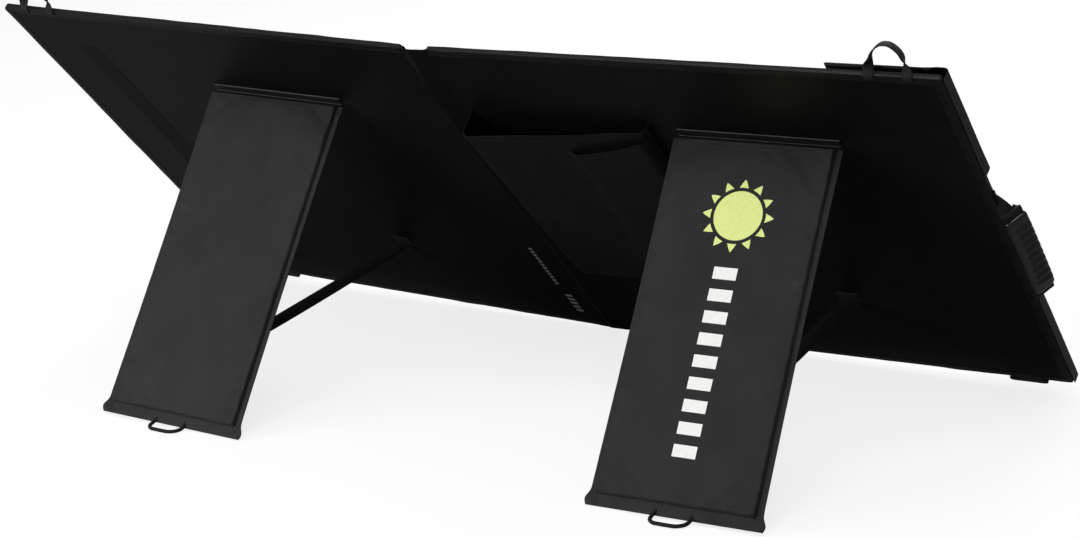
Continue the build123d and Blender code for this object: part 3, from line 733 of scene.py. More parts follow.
def make_back(word):
    """Coated cloth over the back of a half's board, swelling a little between its edges."""
    axes = HALF[word]
    c = np.linspace(GAP + 0.2, WIDTH - SHEET_EDGE, 112)
    h = np.linspace(SHEET_EDGE, HEIGHT - SHEET_EDGE, 118)
    c, h = np.meshgrid(c, h, indexing="ij")
    outer = np.stack([c, h, -back_swell(word, c, h)], -1)
    inner = np.stack([c, h, np.full_like(c, 0.5)], -1)
    made = shell(f"{word}_back_sheet", axes, outer, inner, BACK_CLOTH)
    settle(made, f"{word}_half", f"{word}_back_cover")
    return made


def make_binding(word):
    """Tape folded over the top, outer and bottom edges."""
    axes = HALF[word]
    outside = (
        (LEAF, -0.12), (LEAF - 0.7, -0.38), (5.0, -0.5), (1.4, -0.52), (0.45, -0.32), (0.08, 0.9),
        (0.0, FRONT / 2), (0.08, FRONT - 0.9), (0.45, FRONT + 0.35), (1.4, FRONT + 0.66),
        (5.0, FRONT + 0.72), (LEAF - 0.5, FRONT + 0.62), (LEAF, FRONT + 0.28),
    )
    outer, inner = [], []
    for inset, z in outside:
        path = edge_path(inset)
        ripple = 0.22 * waves(path[:, 0], path[:, 1], 60, 31) * (1 if inset > 1 else 2)
        outward = int(z > FRONT - 1) - int(z < 1)
        outer.append(np.column_stack([path, z + outward * np.maximum(ripple, -0.1)]))
        deep = np.clip(z, -0.06, FRONT + 0.06)
        inward = edge_path(max(inset, BIND))
        inner.append(np.column_stack([inward, np.full(len(path), deep)]))
    outer = np.stack(outer, 1)
    inner = np.stack(inner, 1)
    steps = np.linalg.norm(np.diff(outer[:, 6], axis=0), axis=1)
    cloth = np.zeros(outer.shape)
    cloth[..., 0] = np.concatenate([[0], np.cumsum(steps)])[:, None]
    cloth[..., 1] = np.array([inset for inset, _ in outside])[None, :]
    made = shell(f"{word}_binding_tape", axes, outer, inner, TAPE, cloth=cloth)
    settle(made, f"{word}_half", f"{word}_edge_binding")
    seam = edge_path(7.6)
    rows = []
    for z in (-0.56, FRONT + 0.78):
        rows.append((axes, np.column_stack([seam, np.full(len(seam), z)]), (0, 0, np.sign(z))))
    thread = stitches(f"{word}_binding_stitches", rows, THREAD)
    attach(thread, f"{word}_half")


def rect_path(low, high, radius, per_side=24):
    """A closed rounded rectangle between two corners."""
    (x0, y0), (x1, y1) = np.array(low) + radius, np.array(high) - radius
    corners = ((x1, y1), (x0, y1), (x0, y0), (x1, y0))
    points = []
    for k, corner in enumerate(corners):
        turns = np.radians(np.linspace(90 * k, 90 * k + 90, 5))
        points += arc(corner, radius, turns)
        a, b = np.array(points[-1]), np.array(arc(corners[(k + 1) % 4], radius, turns[-1:])[0])
        points += [tuple(a + (b - a) * t) for t in np.linspace(0, 1, per_side + 1)[1:-1]]
    return np.array(points)


def make_bezel(word):
    """Fabric frame round the cells, its inner edge turned under and stitched."""
    axes = HALF[word]
    film = axes.span(f"{word}_front_film")[1][2]
    cells = axes.span(f"{word}_solar_cells")
    low, high = cells[0][:2] - BEZEL_LAP, cells[1][:2] + BEZEL_LAP
    outer_low, outer_high = np.array((GAP + 0.2, 1.3)), np.array((WIDTH - 1.3, HEIGHT - 1.3))
    outer, inner = [], []
    for share in (0.0, 0.25, 0.5, 0.75, 1.0):
        a = outer_low + (low - outer_low) * share
        b = outer_high + (high - outer_high) * share
        path = rect_path(a, b, 4.5)
        level = film + 0.5 + 0.18 * waves(path[:, 0], path[:, 1], 45, 41)
        outer.append(np.column_stack([path, level]))
        inner.append(np.column_stack([path, np.full(len(path), film + 0.03)]))
    for inward, rise in ((0.5, 0.42), (0.8, 0.12)):
        path = rect_path(low + inward, high - inward, 4.0)
        outer.append(np.column_stack([path, np.full(len(path), film + rise)]))
        inner.append(np.column_stack([path, np.full(len(path), film + 0.03)]))
    made = shell(
        f"{word}_bezel_frame", axes, np.stack(outer, 1), np.stack(inner, 1),
        BACK_CLOTH, loop=True,
    )
    settle(made, f"{word}_half", f"{word}_front_bezel")
    seam = rect_path(low - 2.2, high + 2.2, 5.5)
    seam = seam[(seam[:, 0] < WIDTH - LEAF) | (seam[:, 1] < 0)]
    level = np.full(len(seam), film + 0.62)
    rows = [(axes, np.column_stack([seam, level]), (0, 0, 1))]
    thread = stitches(f"{word}_bezel_stitches", rows, THREAD)
    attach(thread, f"{word}_half")


def top_loop(word, middle, rise):
    """A webbing loop that stands above the top edge and leans to the front."""
    root, lean, count = 18.0, math.radians(LOOP_LEAN), 49
    arch = [(-root, -5.0), (-root, 1.5), (-root * 0.97, rise * 0.3), (-root * 0.72, rise * 0.72)]
    arch += [(-root * 0.3, rise * 0.96), (0.0, rise)]
    arch += [(-x, y) for x, y in arch[-2::-1]]
    flat = spline(arch, count)
    # the arch leans to the front above its roots
    free = np.maximum(flat[:, 1], 0)
    along = np.minimum(flat[:, 1], 0) + free * math.cos(lean)
    forward = -1.0 + (1.0 + FRONT / 2) * smooth(free / 8) + free * math.sin(lean)
    path = np.column_stack([middle + flat[:, 0], HEIGHT + along, forward])
    ahead = unit(np.gradient(path, axis=0))
    square = np.array((0, -math.sin(lean), math.cos(lean)))
    beside = np.cross(ahead, square)
    turn = np.radians(90) * smooth((flat[:, 1] - 1.5) / (rise * 0.55))
    wide = beside * np.cos(turn)[:, None] + square * np.sin(turn)[:, None]
    rings = strap_rings(path, wide, bar_section(LOOP_WIDTH, 1.2))
    return tube(f"{word}_top_loop", HALF[word], rings, WEBBING)


def bottom_loop(word, low, high):
    """A webbing loop pressed flat under the bottom edge."""
    middle = (low[0] + high[0]) / 2
    half_flat = (high[0] - low[0]) / 2 - 1.5
    drop = -low[1] - 1.3
    under = [(-16, 5), (-16, 1), (-19, -1.6), (-half_flat + 1, -drop * 0.52)]
    under += [(-half_flat * 0.8, -drop), (0, -drop - 0.1)]
    under += [(-x, y) for x, y in under[-2::-1]]
    flat = spline(under, 61)
    path = np.column_stack([middle + flat[:, 0], flat[:, 1], np.full(61, (low[2] + high[2]) / 2)])
    wide = np.tile((0, 0, 1.0), (61, 1))
    rings = strap_rings(path, wide, bar_section(LOOP_WIDTH, 1.4))
    return tube(f"{word}_bottom_loop", HALF[word], rings, WEBBING)


def corner_loops(word):
    """The two loops at a half's outer corners, which also stand in for its CAD piece."""
    low, high = HALF[word].span(f"{word}_corner_loops")
    top = top_loop(word, (low[0] + high[0]) / 2, high[1] - HEIGHT)
    for made in (top, bottom_loop(word, low, high)):
        clear_ground(made)
        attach(made, f"{word}_half")
    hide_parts(f"{word}_corner_loops")


def clear_ground(made):
    """Lift any point that would be under the ground."""
    for v in made.data.vertices:
        v.co.z = max(v.co.z, 0.0)
    made.data.update()


def patch(name, axes, centre, size, side, material, slot):
    """A small sewn pad: flat, with soft rounded edges."""
    width, height, thick = size
    u = np.concatenate([[-1, -0.97], np.linspace(-0.9, 0.9, 9), [0.97, 1]])
    x, y = np.meshgrid(u * width / 2, u * height / 2, indexing="ij")
    near = np.minimum(width / 2 - abs(x), height / 2 - abs(y))
    rise = thick * (0.35 + 0.65 * np.sqrt(np.clip(near / 1.6, 0, 1)))
    outer = np.stack([centre[0] + x, centre[1] + y, centre[2] + side * rise], -1)
    inner = np.stack([centre[0] + x, centre[1] + y, np.full_like(x, centre[2])], -1)
    return shell(name, axes, outer, inner, material)


for word in WORDS:
    back_sheet = make_back(word)
    if word == "right":
        right_back_surface = surface_of(back_sheet)
    make_binding(word)
    make_bezel(word)
    corner_loops(word)


# ------------------------------------------------------------------ the fold


def fold_surface(level, reach, rows=150):
    """Points of a sheet across the fold. level gives its z behind or in front of each half."""
    outside = GAP + (reach - GAP) * np.array((0.03, 0.12, 0.25, 0.4, 0.58, 0.78, 1.0))
    columns = np.concatenate([-outside[::-1], np.linspace(-GAP, GAP, 29), outside])
    h = np.linspace(-1.0, HEIGHT - 0.2, rows)
    grid = np.zeros((rows, len(columns), 3))
    for k, x in enumerate(columns):
        place = np.column_stack([np.full(rows, x), h, level(np.full(rows, x), h)])
        if abs(x) <= GAP:
            grid[:, k] = place
        else:
            place[:, 0] = abs(x)
            grid[:, k] = FOLD.local(HALF["left" if x < 0 else "right"].world(place))
    return grid


def slack(h):
    """How far the strip's slack stands behind the halves, and where across it its crest lies."""
    near_top = smooth((HEIGHT - h) / 70)
    height = (1.5 + 9.0 * near_top) * (0.22 + 0.78 * smooth((h - 140) / 260))
    return height + 0.4 * waves(h, h * 0, 90, 53), 5.0 + 4.0 * near_top + 0.8 * waves(h, h * 0, 110, 54)


def back_level(x, h):
    """The back sheet: sewn down on both halves, its slack pushed to the back in one soft crease."""
    if abs(x[0]) > GAP:
        word = "left" if x[0] < 0 else "right"
        laid_on = -back_swell(word, abs(x), h)
        return laid_on - 0.1 * smooth((FOLD_REACH - abs(x)) / 5) + 0.06
    height, crest = slack(h)
    gentle = np.clip((x + GAP) / (crest + GAP), 0, 1) ** 1.25
    steep = np.clip((GAP - x) / (GAP - crest), 0, 1)
    rise = (gentle**-6 + steep**-6) ** (-1 / 6) if abs(x[0]) < GAP else 0.0 * x
    pucker = 0.4 * smooth((h - HEIGHT + 60) / 60) * waves(x, h * 0.4, 11, 51)
    lumps = 0.12 * waves(x, h * 0.3, 26, 52)
    held = np.clip((GAP - abs(x)) / 4.0, 0, 1)
    return RIDGE - 0.1 - height * rise - (pucker + lumps) * held


def front_level(x, h):
    """The front sheet, sunk between the halves and sewn down on their bezels."""
    ripple = 0.12 * waves(x, h * 0.5, 16, 55)
    if abs(x[0]) > GAP:
        return FRONT + 0.12 + 0.5 * smooth((FRONT_REACH - abs(x)) / 1.2) + ripple
    sunk = FOLD.span("fold_strip_front")[1][2]
    edge = smooth((abs(x) - GAP + 4.5) / 4.5)
    return sunk + (FRONT + RIDGE - sunk) * edge + 0.35 + ripple


FOLD_REACH = 27.0       # the fold's back sheet reaches this far over each half
FRONT_REACH = 18.0      # and its front sheet this far
RIDGE = float(FOLD.local(HALF["left"].world((GAP, HEIGHT / 2, 0)))[2])


def make_fold():
    """The two sheets and the jumper ribbons that cross between the halves."""
    outer = fold_surface(back_level, FOLD_REACH)
    inner = outer.copy()
    inner[..., 2] += 0.5
    made = shell("fold_back_sheet", FOLD, outer, inner, BACK_CLOTH)
    clear_ground(made)
    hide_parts("fold_strip_back")

    top = fold_surface(front_level, FRONT_REACH)[1:-1]
    under = top.copy()
    under[..., 2] -= 0.5
    front = shell("fold_front_sheet", FOLD, top, under, BACK_CLOTH)
    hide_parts("fold_strip_front")

    ribbons = []
    low, high = FOLD.span("fold_jumper_ribbons")
    width, count = 10.0, 25
    for k, y in enumerate((low[1] + width / 2, high[1] - width / 2)):
        x = np.linspace(0.4 - GAP, GAP - 0.4, count)
        path = np.column_stack([x, np.full(count, y), np.full(count, high[2])])
        wide = np.tile((0, 1.0, 0), (count, 1))
        rings = strap_rings(path, wide, bar_section(width, 0.3))
        ribbons.append(tube(f"fold_jumper_{k + 1}", FOLD, rings, RIBBON))
    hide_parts("fold_jumper_ribbons")

    h = np.linspace(4, HEIGHT - 3, 120)
    seam = np.column_stack([np.full(120, GAP + 2.0), h, np.full(120, FRONT + 0.7)])
    for word in WORDS:
        thread = stitches(
            f"{word}_fold_stitches", [(HALF[word], seam, (0, 0, 1))], THREAD
        )
        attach(thread, f"{word}_half")
    start, end = (HALF[word].world((GAP, HEIGHT / 2, 0)) for word in WORDS)
    for moving in [made, front] + ribbons:
        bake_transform(moving)


make_fold()


# ------------------------------------------------------------------ legs


SEAM = 6.6              # flat flange along the leg's long sides
HEM = 12.4              # flat hem at its foot
WAIST = 1.1             # how far the flange draws in half way down
SHOULDER = 2.2          # the padding rises to its full height over this


def quarter(t):
    """A quarter ellipse from 0 to 1."""
    t = np.clip(t, 0, 1)
    return np.sqrt(t * (2 - t))


def leg_grid(word):
    """Rows down the leg and columns across it, with each point's distance from the sewn edge."""
    low, high = LEG[word].span(f"{word}_leg_outer_cover")
    half = LEG[word].span(f"{word}_leg_board")[1][0] + 8.8
    ear = high[0] - half
    inset = np.concatenate(
        [(0, 1.2, 3.0, 4.8, 6.2, 6.8, 7.3, 7.9, 8.6, 10.5, 14.0), np.linspace(18, half, 21)[:-1]]
    )
    x = np.concatenate([inset - half, [0.0], (half - inset)[::-1]])
    length = high[1] - low[1]
    near_top = (0, 0.3, 0.7, 1.2, 2.5, 5.0)
    near_foot = length - np.array((17, 15, 14.2, 13.5, 12.9, 12.3, 10, 8, 6, 4, 2, 0.8, 0))
    down = np.concatenate([near_top, np.linspace(9, length - 20, 100), near_foot])
    y, x = np.meshgrid(high[1] - down, x, indexing="ij")
    from_side = half - abs(x)
    from_foot = y - low[1]
    # the flange draws in a little between top and foot, and the hem stands out at its ears
    edge = 1 - smooth(from_side / SEAM)
    spread = ear * np.exp(-(((from_foot - 5.0) / 6.5) ** 2))
    waist = WAIST * np.sin(from_foot / length * np.pi)
    x = x + np.sign(x) * edge * (spread - waist)
    return x, y, from_side, from_foot, half, low, high


def make_leg(word):
    """A leg's sleeve: a padded board pocket inside a flat flange, with a hem at its foot."""
    axes = LEG[word]
    x, y, from_side, from_foot, half, low, high = leg_grid(word)
    seed = 61 if word == "left" else 67
    flange, deep = -4.0, low[2] - 0.25
    rise = quarter((from_side - SEAM) / SHOULDER) * quarter((from_foot - HEM) / SHOULDER)
    rise *= quarter((high[1] - y) / 1.3)
    z = flange + (deep - flange) * rise
    z -= 0.3 * waves(x, y, 75, seed) * rise
    # the sewn edge puckers a little, and the foot's hem is pinched at its ears
    z -= 0.3 * waves(x * 0.5, y, 13, seed + 1) * np.exp(-(((from_side - 3.5) / 3.5) ** 2))
    hem_wave = np.exp(-(((from_foot - 5.5) / 6) ** 2))
    z -= 0.7 * waves(x, y, 30, seed + 2) * hem_wave
    corner = np.exp(-(((from_side - 2) / 9) ** 2)) * np.exp(-(((from_foot - 7) / 10) ** 2))
    z -= 1.8 * corner * np.sin(from_side / 3.1 + from_foot / 4.5)
    outer = np.stack([x, y, z], -1)
    under = np.maximum(high[2] - 0.2 * waves(x, y, 60, seed + 3), z + 0.9)
    inner = np.stack([x, y, np.minimum(under, high[2] + 0.5)], -1)
    made = shell(f"{word}_leg_sleeve", axes, outer, inner, LEG_CLOTH, sharp=60)
    count = outer.shape[0] * outer.shape[1]
    pinned = np.ones(2 * count, bool)
    pinned[:count] = (rise < 0.98).ravel()
    puff(made, pinned, pressure=3.0, cap=1.1, shrink=-0.012)
    over_board = np.flatnonzero(~pinned)
    keep_behind(made, axes, over_board, axes.span(f"{word}_leg_board")[0][2] - 0.35)
    settle(made, f"{word}_leg", f"{word}_leg_outer_cover", f"{word}_leg_inner_cover")
    return made, half, low, high


def keep_behind(made, axes, chosen, level):
    """Push any chosen point that is in front of a level back to it."""
    for k in chosen:
        vertex = made.data.vertices[int(k)]
        place = axes.local(vertex.co)
        place[2] = min(place[2], level)
        vertex.co = axes.world(place)
    made.data.update()


def leg_threads(word, made, half, low, high):
    """Twin seams down both sides and along the hem, and one under the hinge tape."""
    axes = LEG[word]
    surface = surface_of(made)
    rows = []
    y = np.linspace(high[1] - 3, low[1] + 2, 130)
    waist = WAIST * np.sin((y - low[1]) / (high[1] - low[1]) * np.pi)
    for side in (-1, 1):
        for inset in (2.2, 5.4):
            x = side * (half - waist * (1 - smooth(inset / SEAM)) - inset)
            rows.append(sewn(surface, axes, x, y))
    x = np.linspace(-half + 3, half - 3, 70)
    for y in (low[1] + 10.5, low[1] + 13.0, high[1] - 7.0):
        rows.append(sewn(surface, axes, x, y))
    thread = stitches(f"{word}_leg_stitches", rows, LEG_THREAD, radius=0.32)
    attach(thread, f"{word}_leg")
    return surface


def hinge_tape(word):
    """The tape that hangs the leg: sewn flat on the back, then over the hinge line into the leg."""
    half, leg = HALF[word], LEG[word]
    low, high = half.span(f"{word}_leg_hinge_tape")
    centre = half.local(leg.origin)
    width = high[0] - low[0] - 1.0
    face = low[2]
    top = high[1] - 2.0
    section = [(top, face + 0.9), (top - 0.6, face), (top - 2.5, face - 0.1)]
    section += [(low[1] + 2, face - 0.1), (low[1] + 0.5, face - 0.2)]
    for y, z in ((-0.4, -1.6), (-3.0, -2.9), (-7.0, -3.6)):
        at = half.local(leg.world((0, y, z)))
        section.append((at[1], at[2]))
    rows, columns = 30, 60
    section = spline([(0, h, z) for h, z in section], rows)[:, 1:]
    ahead = unit(np.gradient(section, axis=0))
    normal = np.column_stack([ahead[:, 1], -ahead[:, 0]])
    normal *= np.sign(-normal[4, 1])
    x, row = np.meshgrid(np.linspace(-1, 1, columns) * width / 2, 3.0 * np.arange(rows))
    ripple = 0.12 * waves(x, row, 26, 71)[..., None]
    faces = [section[:, None] + normal[:, None] * (lift + ripple) for lift in (0.3, -0.3)]
    outer, inner = (np.concatenate([centre[0] + x[..., None], face], -1) for face in faces)
    made = shell(f"{word}_hinge_cover", half, outer, inner, TAPE)
    start = half.world((centre[0], low[1] + 1.5, face))
    end = leg.world((0, -4.0, -3.2))
    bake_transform(made)
    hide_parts(f"{word}_leg_hinge_tape")
    x = centre[0] + np.linspace(-width / 2 + 2, width / 2 - 2, 60)
    rows = []
    for drop in (1.4, 4.2):
        seam = np.column_stack([x, np.full(60, top - drop), np.full(60, face - 0.45)])
        rows.append((half, seam, (0, 0, -1)))
    thread = stitches(f"{word}_hinge_stitches", rows, THREAD)
    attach(thread, f"{word}_half")


def foot_loop(word):
    """Cord loop sewn into the foot's hem, lying on the ground."""
    axes = LEG[word]
    node = frame["nodes"][f"{word}_foot_loop"]
    points = np.array([v.co for v in node.data.vertices])
    out = axes.axes[0]
    flat = np.array([0.0, 0.0, 1.0])
    away = np.cross(out, flat)
    away = unit(away - (away @ out) * out)
    middle = points.mean(0)
    if away @ (middle - axes.world((0, -200, -4))) < 0:
        away = -away
    ground = Local(middle * (1, 1, 0), out, away, flat)
    low, high = ground.span(f"{word}_foot_loop")
    thick = 1.9
    wide = high[0]
    shape = [
        (-wide + 5, low[1] - 7, 7.5), (-wide + 3, low[1] + 1, 3.2), (-wide + 4.5, 0, thick + 0.1),
        (-wide + 10, high[1] - 3.2, thick), (-6, high[1] - 1.8, thick + 0.15),
        (6, high[1] - 2.0, thick), (wide - 10, high[1] - 3.0, thick), (wide - 4.5, 0, thick + 0.1),
        (wide - 3, low[1] + 1, 3.2), (wide - 5, low[1] - 7, 7.5),
    ]
    path = spline(shape, 64)
    turns = np.linspace(0, 2 * math.pi, 12, endpoint=False)
    ring = np.column_stack([np.cos(turns), np.sin(turns)]) * thick
    rings = strap_rings(path, np.tile((0, 0, 1.0), (64, 1)), ring)
    made = tube(f"{word}_foot_cord", ground, rings, CORD)
    clear_ground(made)
    settle(made, f"{word}_leg", f"{word}_foot_loop")


def unsmooth(w):
    """Where smooth() is w."""
    return 0.5 - math.sin(math.asin(1 - 2 * w) / 3)


def middle_of(low_high):
    """Centre of a span's lowest and highest coordinates."""
    return (low_high[0] + low_high[1]) / 2


def turn_about(hinge, place):
    """Angle of a place about the leg's hinge line, measured down from the panel."""
    return math.atan2(-(place - hinge)[2], -(place - hinge)[1])


def limit_strap(word):
    """Strap from panel to leg in five even lengths, with a sewn pad at each end."""
    half, leg = HALF[word], LEG[word]
    panel_patch = half.span(f"{word}_strap_panel_patch")
    leg_patch = leg.span(f"{word}_strap_leg_patch")
    thick, width, parts = 1.5, 20.0, 5
    x, y, _ = middle_of(panel_patch)
    first = np.array((x, y, panel_patch[0][2] - thick / 2 - 0.1))
    last = half.local(leg.world((0, middle_of(leg_patch)[1], leg_patch[1][2] + thick / 2 + 0.1)))
    hinge = half.local(leg.origin)
    low, high = turn_about(hinge, first), turn_about(hinge, last)
    cuts = np.linspace(0, 1, parts + 1)
    shares = [(turn_about(hinge, first + (last - first) * cut) - low) / (high - low) for cut in cuts]
    steps = [unsmooth(min(max(share, 0), 1)) for share in shares]
    for k in range(parts):
        s = np.linspace(cuts[k], cuts[k + 1], 14)
        path = first + (last - first) * s[:, None]
        path[:, 1] -= 1.6 * np.sin(np.pi * s)
        twist = 0.10 * np.sin(np.pi * s) ** 2
        wide = np.column_stack([np.cos(twist), np.sin(twist) * 0.6, np.sin(twist) * 0.4])
        rings = strap_rings(path, wide, bar_section(width, thick))
        strap = tube(f"{word}_limit_strap_{k + 1}", half, rings, WEBBING)
        rate = (cuts[k + 1] - cuts[k]) / (steps[k + 1] - steps[k])
        start = cuts[k] - steps[k] * rate
        ends = [half.world(first + (last - first) * at) for at in (start, start + rate)]
        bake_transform(strap)
        if k == 0:
            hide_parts(f"{word}_limit_strap")
    strap_pad(word, "panel", half, panel_patch, -1, f"{word}_half")
    strap_pad(word, "leg", leg, leg_patch, 1, f"{word}_leg")


def strap_pad(word, name, axes, spot, side, body):
    """The patch that holds one end of a limit strap, with a box of stitches."""
    width, height, thick = 24.0, 30.0, 0.95
    x, y, _ = middle_of(spot)
    base = spot[1][2] if side < 0 else spot[0][2]
    size = (width, height, thick)
    pad = patch(f"{word}_{name}_strap_pad", axes, (x, y, base), size, side, WEBBING, "webbing")
    settle(pad, body, f"{word}_strap_{name}_patch")
    w, h = width / 2 - 2.0, height / 2 - 2.0
    level = base + side * (thick + 0.02)
    box = [(-w, -h), (w, -h), (w, h), (-w, h), (-w, -h), (w, h), (w, -h), (-w, h)]
    path = [(x + u, y + v, level) for u, v in box]
    thread = stitches(
        f"{word}_{name}_pad_stitches", [(axes, path, (0, 0, side))], THREAD,
        pitch=2.8, length=2.2, radius=0.25,
    )
    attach(thread, body)


def flat_print(name, surface, axes, outlines, material, body):
    """Printed shapes laid on cloth: each outline is a grid of points (rows, columns, 2)."""
    points, faces, cloth = [], [], []
    for grid in outlines:
        rows, columns = grid.shape[:2]
        place = np.concatenate([grid, np.zeros((rows, columns, 1))], -1)
        top = laid(surface, axes, place, 0.10)
        bottom = laid(surface, axes, place, -0.15)
        first = len(points)
        count = rows * columns
        points += top.reshape(-1, 3).tolist() + bottom.reshape(-1, 3).tolist()
        cloth += place.reshape(-1, 3).tolist() * 2
        faces += quads(rows, columns, first) + quads(rows, columns, first + count)
        index = first + np.arange(count).reshape(rows, columns)
        faces += walls((index[:, 0], index[:, -1], index[0], index[-1]), count)
    made = piece(name, axes.world(points), faces, cloth, material, 60)
    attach(made, body)
    return made


def round_points(centre, radius, turn):
    """Points at grids of radii and turns round a centre."""
    return np.stack([centre[0] + radius * np.cos(turn), centre[1] + radius * np.sin(turn)], -1)


def sun_shapes(centre, disc, inner, outer, rays):
    """A plain sun: a disc and triangular rays round it."""
    radius, turn = np.meshgrid(np.linspace(0.25, disc, 12), np.linspace(0, 2 * np.pi, 49), indexing="ij")
    shapes = [round_points(centre, radius, turn)]
    spread = np.pi / rays * 0.62
    radius, share = np.meshgrid(np.linspace(inner, outer, 7), np.linspace(-1, 1, 5), indexing="ij")
    narrowing = 1 - (radius - inner) / (outer - inner) * 0.97
    for k in range(rays):
        turn = 2 * np.pi * k / rays + spread * share * narrowing
        shapes.append(round_points(centre, radius, turn))
    return shapes


def bar_shapes(x, top, bottom, width, count, share=0.55):
    """A column of plain bars, each taking its share of the pitch."""
    shapes = []
    pitch = (top - bottom) / count
    for k in range(count):
        y1 = top - k * pitch
        ys = np.linspace(y1 - pitch * share, y1, 6)
        xs = np.linspace(x - width / 2, x + width / 2, 10)
        gx, gy = np.meshgrid(xs, ys, indexing="ij")
        shapes.append(np.stack([gx, gy], -1))
    return shapes


def leg_prints(surface, length):
    """A plain sun near the top of the left leg, and a column of bars below it."""
    sun = sun_shapes((0.0, -78.0), disc=24.5, inner=28.0, outer=36.0, rays=12)
    bars = bar_shapes(0.0, -0.355 * length, -0.885 * length, width=24.0, count=9)
    flat_print("left_leg_sun_print", surface, LEG["left"], sun, LIME, "left_leg")
    flat_print("left_leg_bar_print", surface, LEG["left"], bars, WHITE, "left_leg")


for word in WORDS:
    sleeve = make_leg(word)
    leg_surface = leg_threads(word, *sleeve)
    if word == "left":
        leg_prints(leg_surface, sleeve[3][1] - sleeve[2][1])
    hinge_tape(word)
    foot_loop(word)
    limit_strap(word)


def fold_print(surface):
    """Two short rows of plain dashes on the right half, low down beside the fold."""
    shapes = bar_shapes(44.0, 176.0, 90.0, width=5.0, count=12)
    shapes += bar_shapes(40.0, 70.0, 26.0, width=9.0, count=5)
    flat_print(
        "right_fold_print", surface, HALF["right"], shapes, DIM_PRINT, "right_half"
    )


fold_print(right_back_surface)


# ------------------------------------------------------------------ pocket


MOUTH_DROOP = 5.0       # the mouth's hem sags this far between its ends


class Bag:
    """The pocket's outline: its spans across and up the half, and how deep it stands behind it."""

    def __init__(self, axes):
        low, high = axes.span("pocket_body")
        self.x, self.y = (low[0], high[0]), (low[1], high[1])
        places = axes.local([v.co for v in frame["nodes"]["pocket_body"].data.vertices])
        mouth = places[places[:, 1] > self.y[1] - 1]
        self.fold_end = -mouth[mouth[:, 0] < self.x[0] + 3][:, 2].min()
        self.far_end = -mouth[mouth[:, 0] > self.x[1] - 3][:, 2].min()
        self.foot = -places[places[:, 1] < self.y[0] + 1][:, 2].min()

    def share(self, x):
        """0 at the edge by the fold and 1 at the far edge."""
        return (x - self.x[0]) / (self.x[1] - self.x[0])

    def depth(self, x, y, least):
        """How far behind the half the sheet stands, with some slack."""
        up = (y - self.y[0]) / (self.y[1] - self.y[0])
        mouth = self.fold_end + (self.far_end - self.fold_end) * self.share(x)
        straight = self.foot + (mouth - self.foot) * up
        slack = 2.4 * math.sin(math.pi * self.share(x)) * (up - 0.15)
        return max((straight - slack) * float(quarter((y - self.y[0]) / 14.0)), least)

    def ring(self, y, wall, least):
        """Section at height y: up one gusset, across the sheet, down the other."""
        x0, x1 = self.x[0] + wall, self.x[1] - wall
        d0, d1 = self.depth(x0, y, least) - wall, self.depth(x1, y, least) - wall
        r0, r1 = min(7.0, d0 * 0.7), min(7.0, d1 * 0.7)
        points = [(x0, 0), (x0 + 0.2, (d0 - r0) * 0.5)]
        points += arc((x0 + r0, d0 - r0), r0, np.radians(np.linspace(180, 90, 6)))
        across = x0 + r0 + (x1 - x0 - r0 - r1) * np.linspace(0, 1, 14)[1:-1]
        points += [(x, self.depth(x, y, least) - wall) for x in across]
        points += arc((x1 - r1, d1 - r1), r1, np.radians(np.linspace(90, 0, 6)))
        return np.array(points + [(x1 - 0.2, (d1 - r1) * 0.5), (x1, 0)])


def make_pocket(axes, bag):
    """The pocket's cloth as one shell, open at its mouth."""
    low, high = bag.y
    near_foot = low + np.array((0.0, 0.8, 2.0, 4.0, 7.0, 10.5, 14.0))
    outer, inner = [], []
    for y in np.concatenate([near_foot, np.linspace(low + 20, high, 46)]):
        section, within = bag.ring(y, 0.0, 0.8), bag.ring(y, 1.1, 1.9)
        x, level = section[:, 0], np.full(len(section), y)
        ripple = 0.5 * waves(x, level, 55, 81) + 0.22 * waves(x * 1.3, level, 17, 82)
        lift = np.zeros(len(section))
        lift[4:-4] = ripple[4:-4] * min(1.0, (y - low) / 40) + 0.45 * (y > high - 9)
        share = np.clip(bag.share(x), 0, 1)
        droop = MOUTH_DROOP * np.sin(np.pi * share) ** 1.2 * smooth((y - low - 180) / 130)
        depth = section[:, 1] + lift
        behind = np.minimum(within[:, 1] + lift, depth - 0.35 * (section[:, 1] > 1.5))
        outer.append(np.column_stack([x, y - droop, -depth]))
        inner.append(np.column_stack([within[:, 0], y - droop, -behind]))
    made = shell("pocket_bag", axes, np.stack(outer), np.stack(inner), POCKET_CLOTH)
    settle(made, "left_half", "pocket_body")
    return made


PUCKER = 5.0            # the pouch's hem sags this far
HEM_SLANT = 24.0        # and its outer end stands this far above the inner one


def pouch_hem(out, outer_top):
    """Height of the pouch's hem, out along its width from 0 to 1."""
    return outer_top - HEM_SLANT + HEM_SLANT * out - PUCKER * np.sin(np.pi * out)


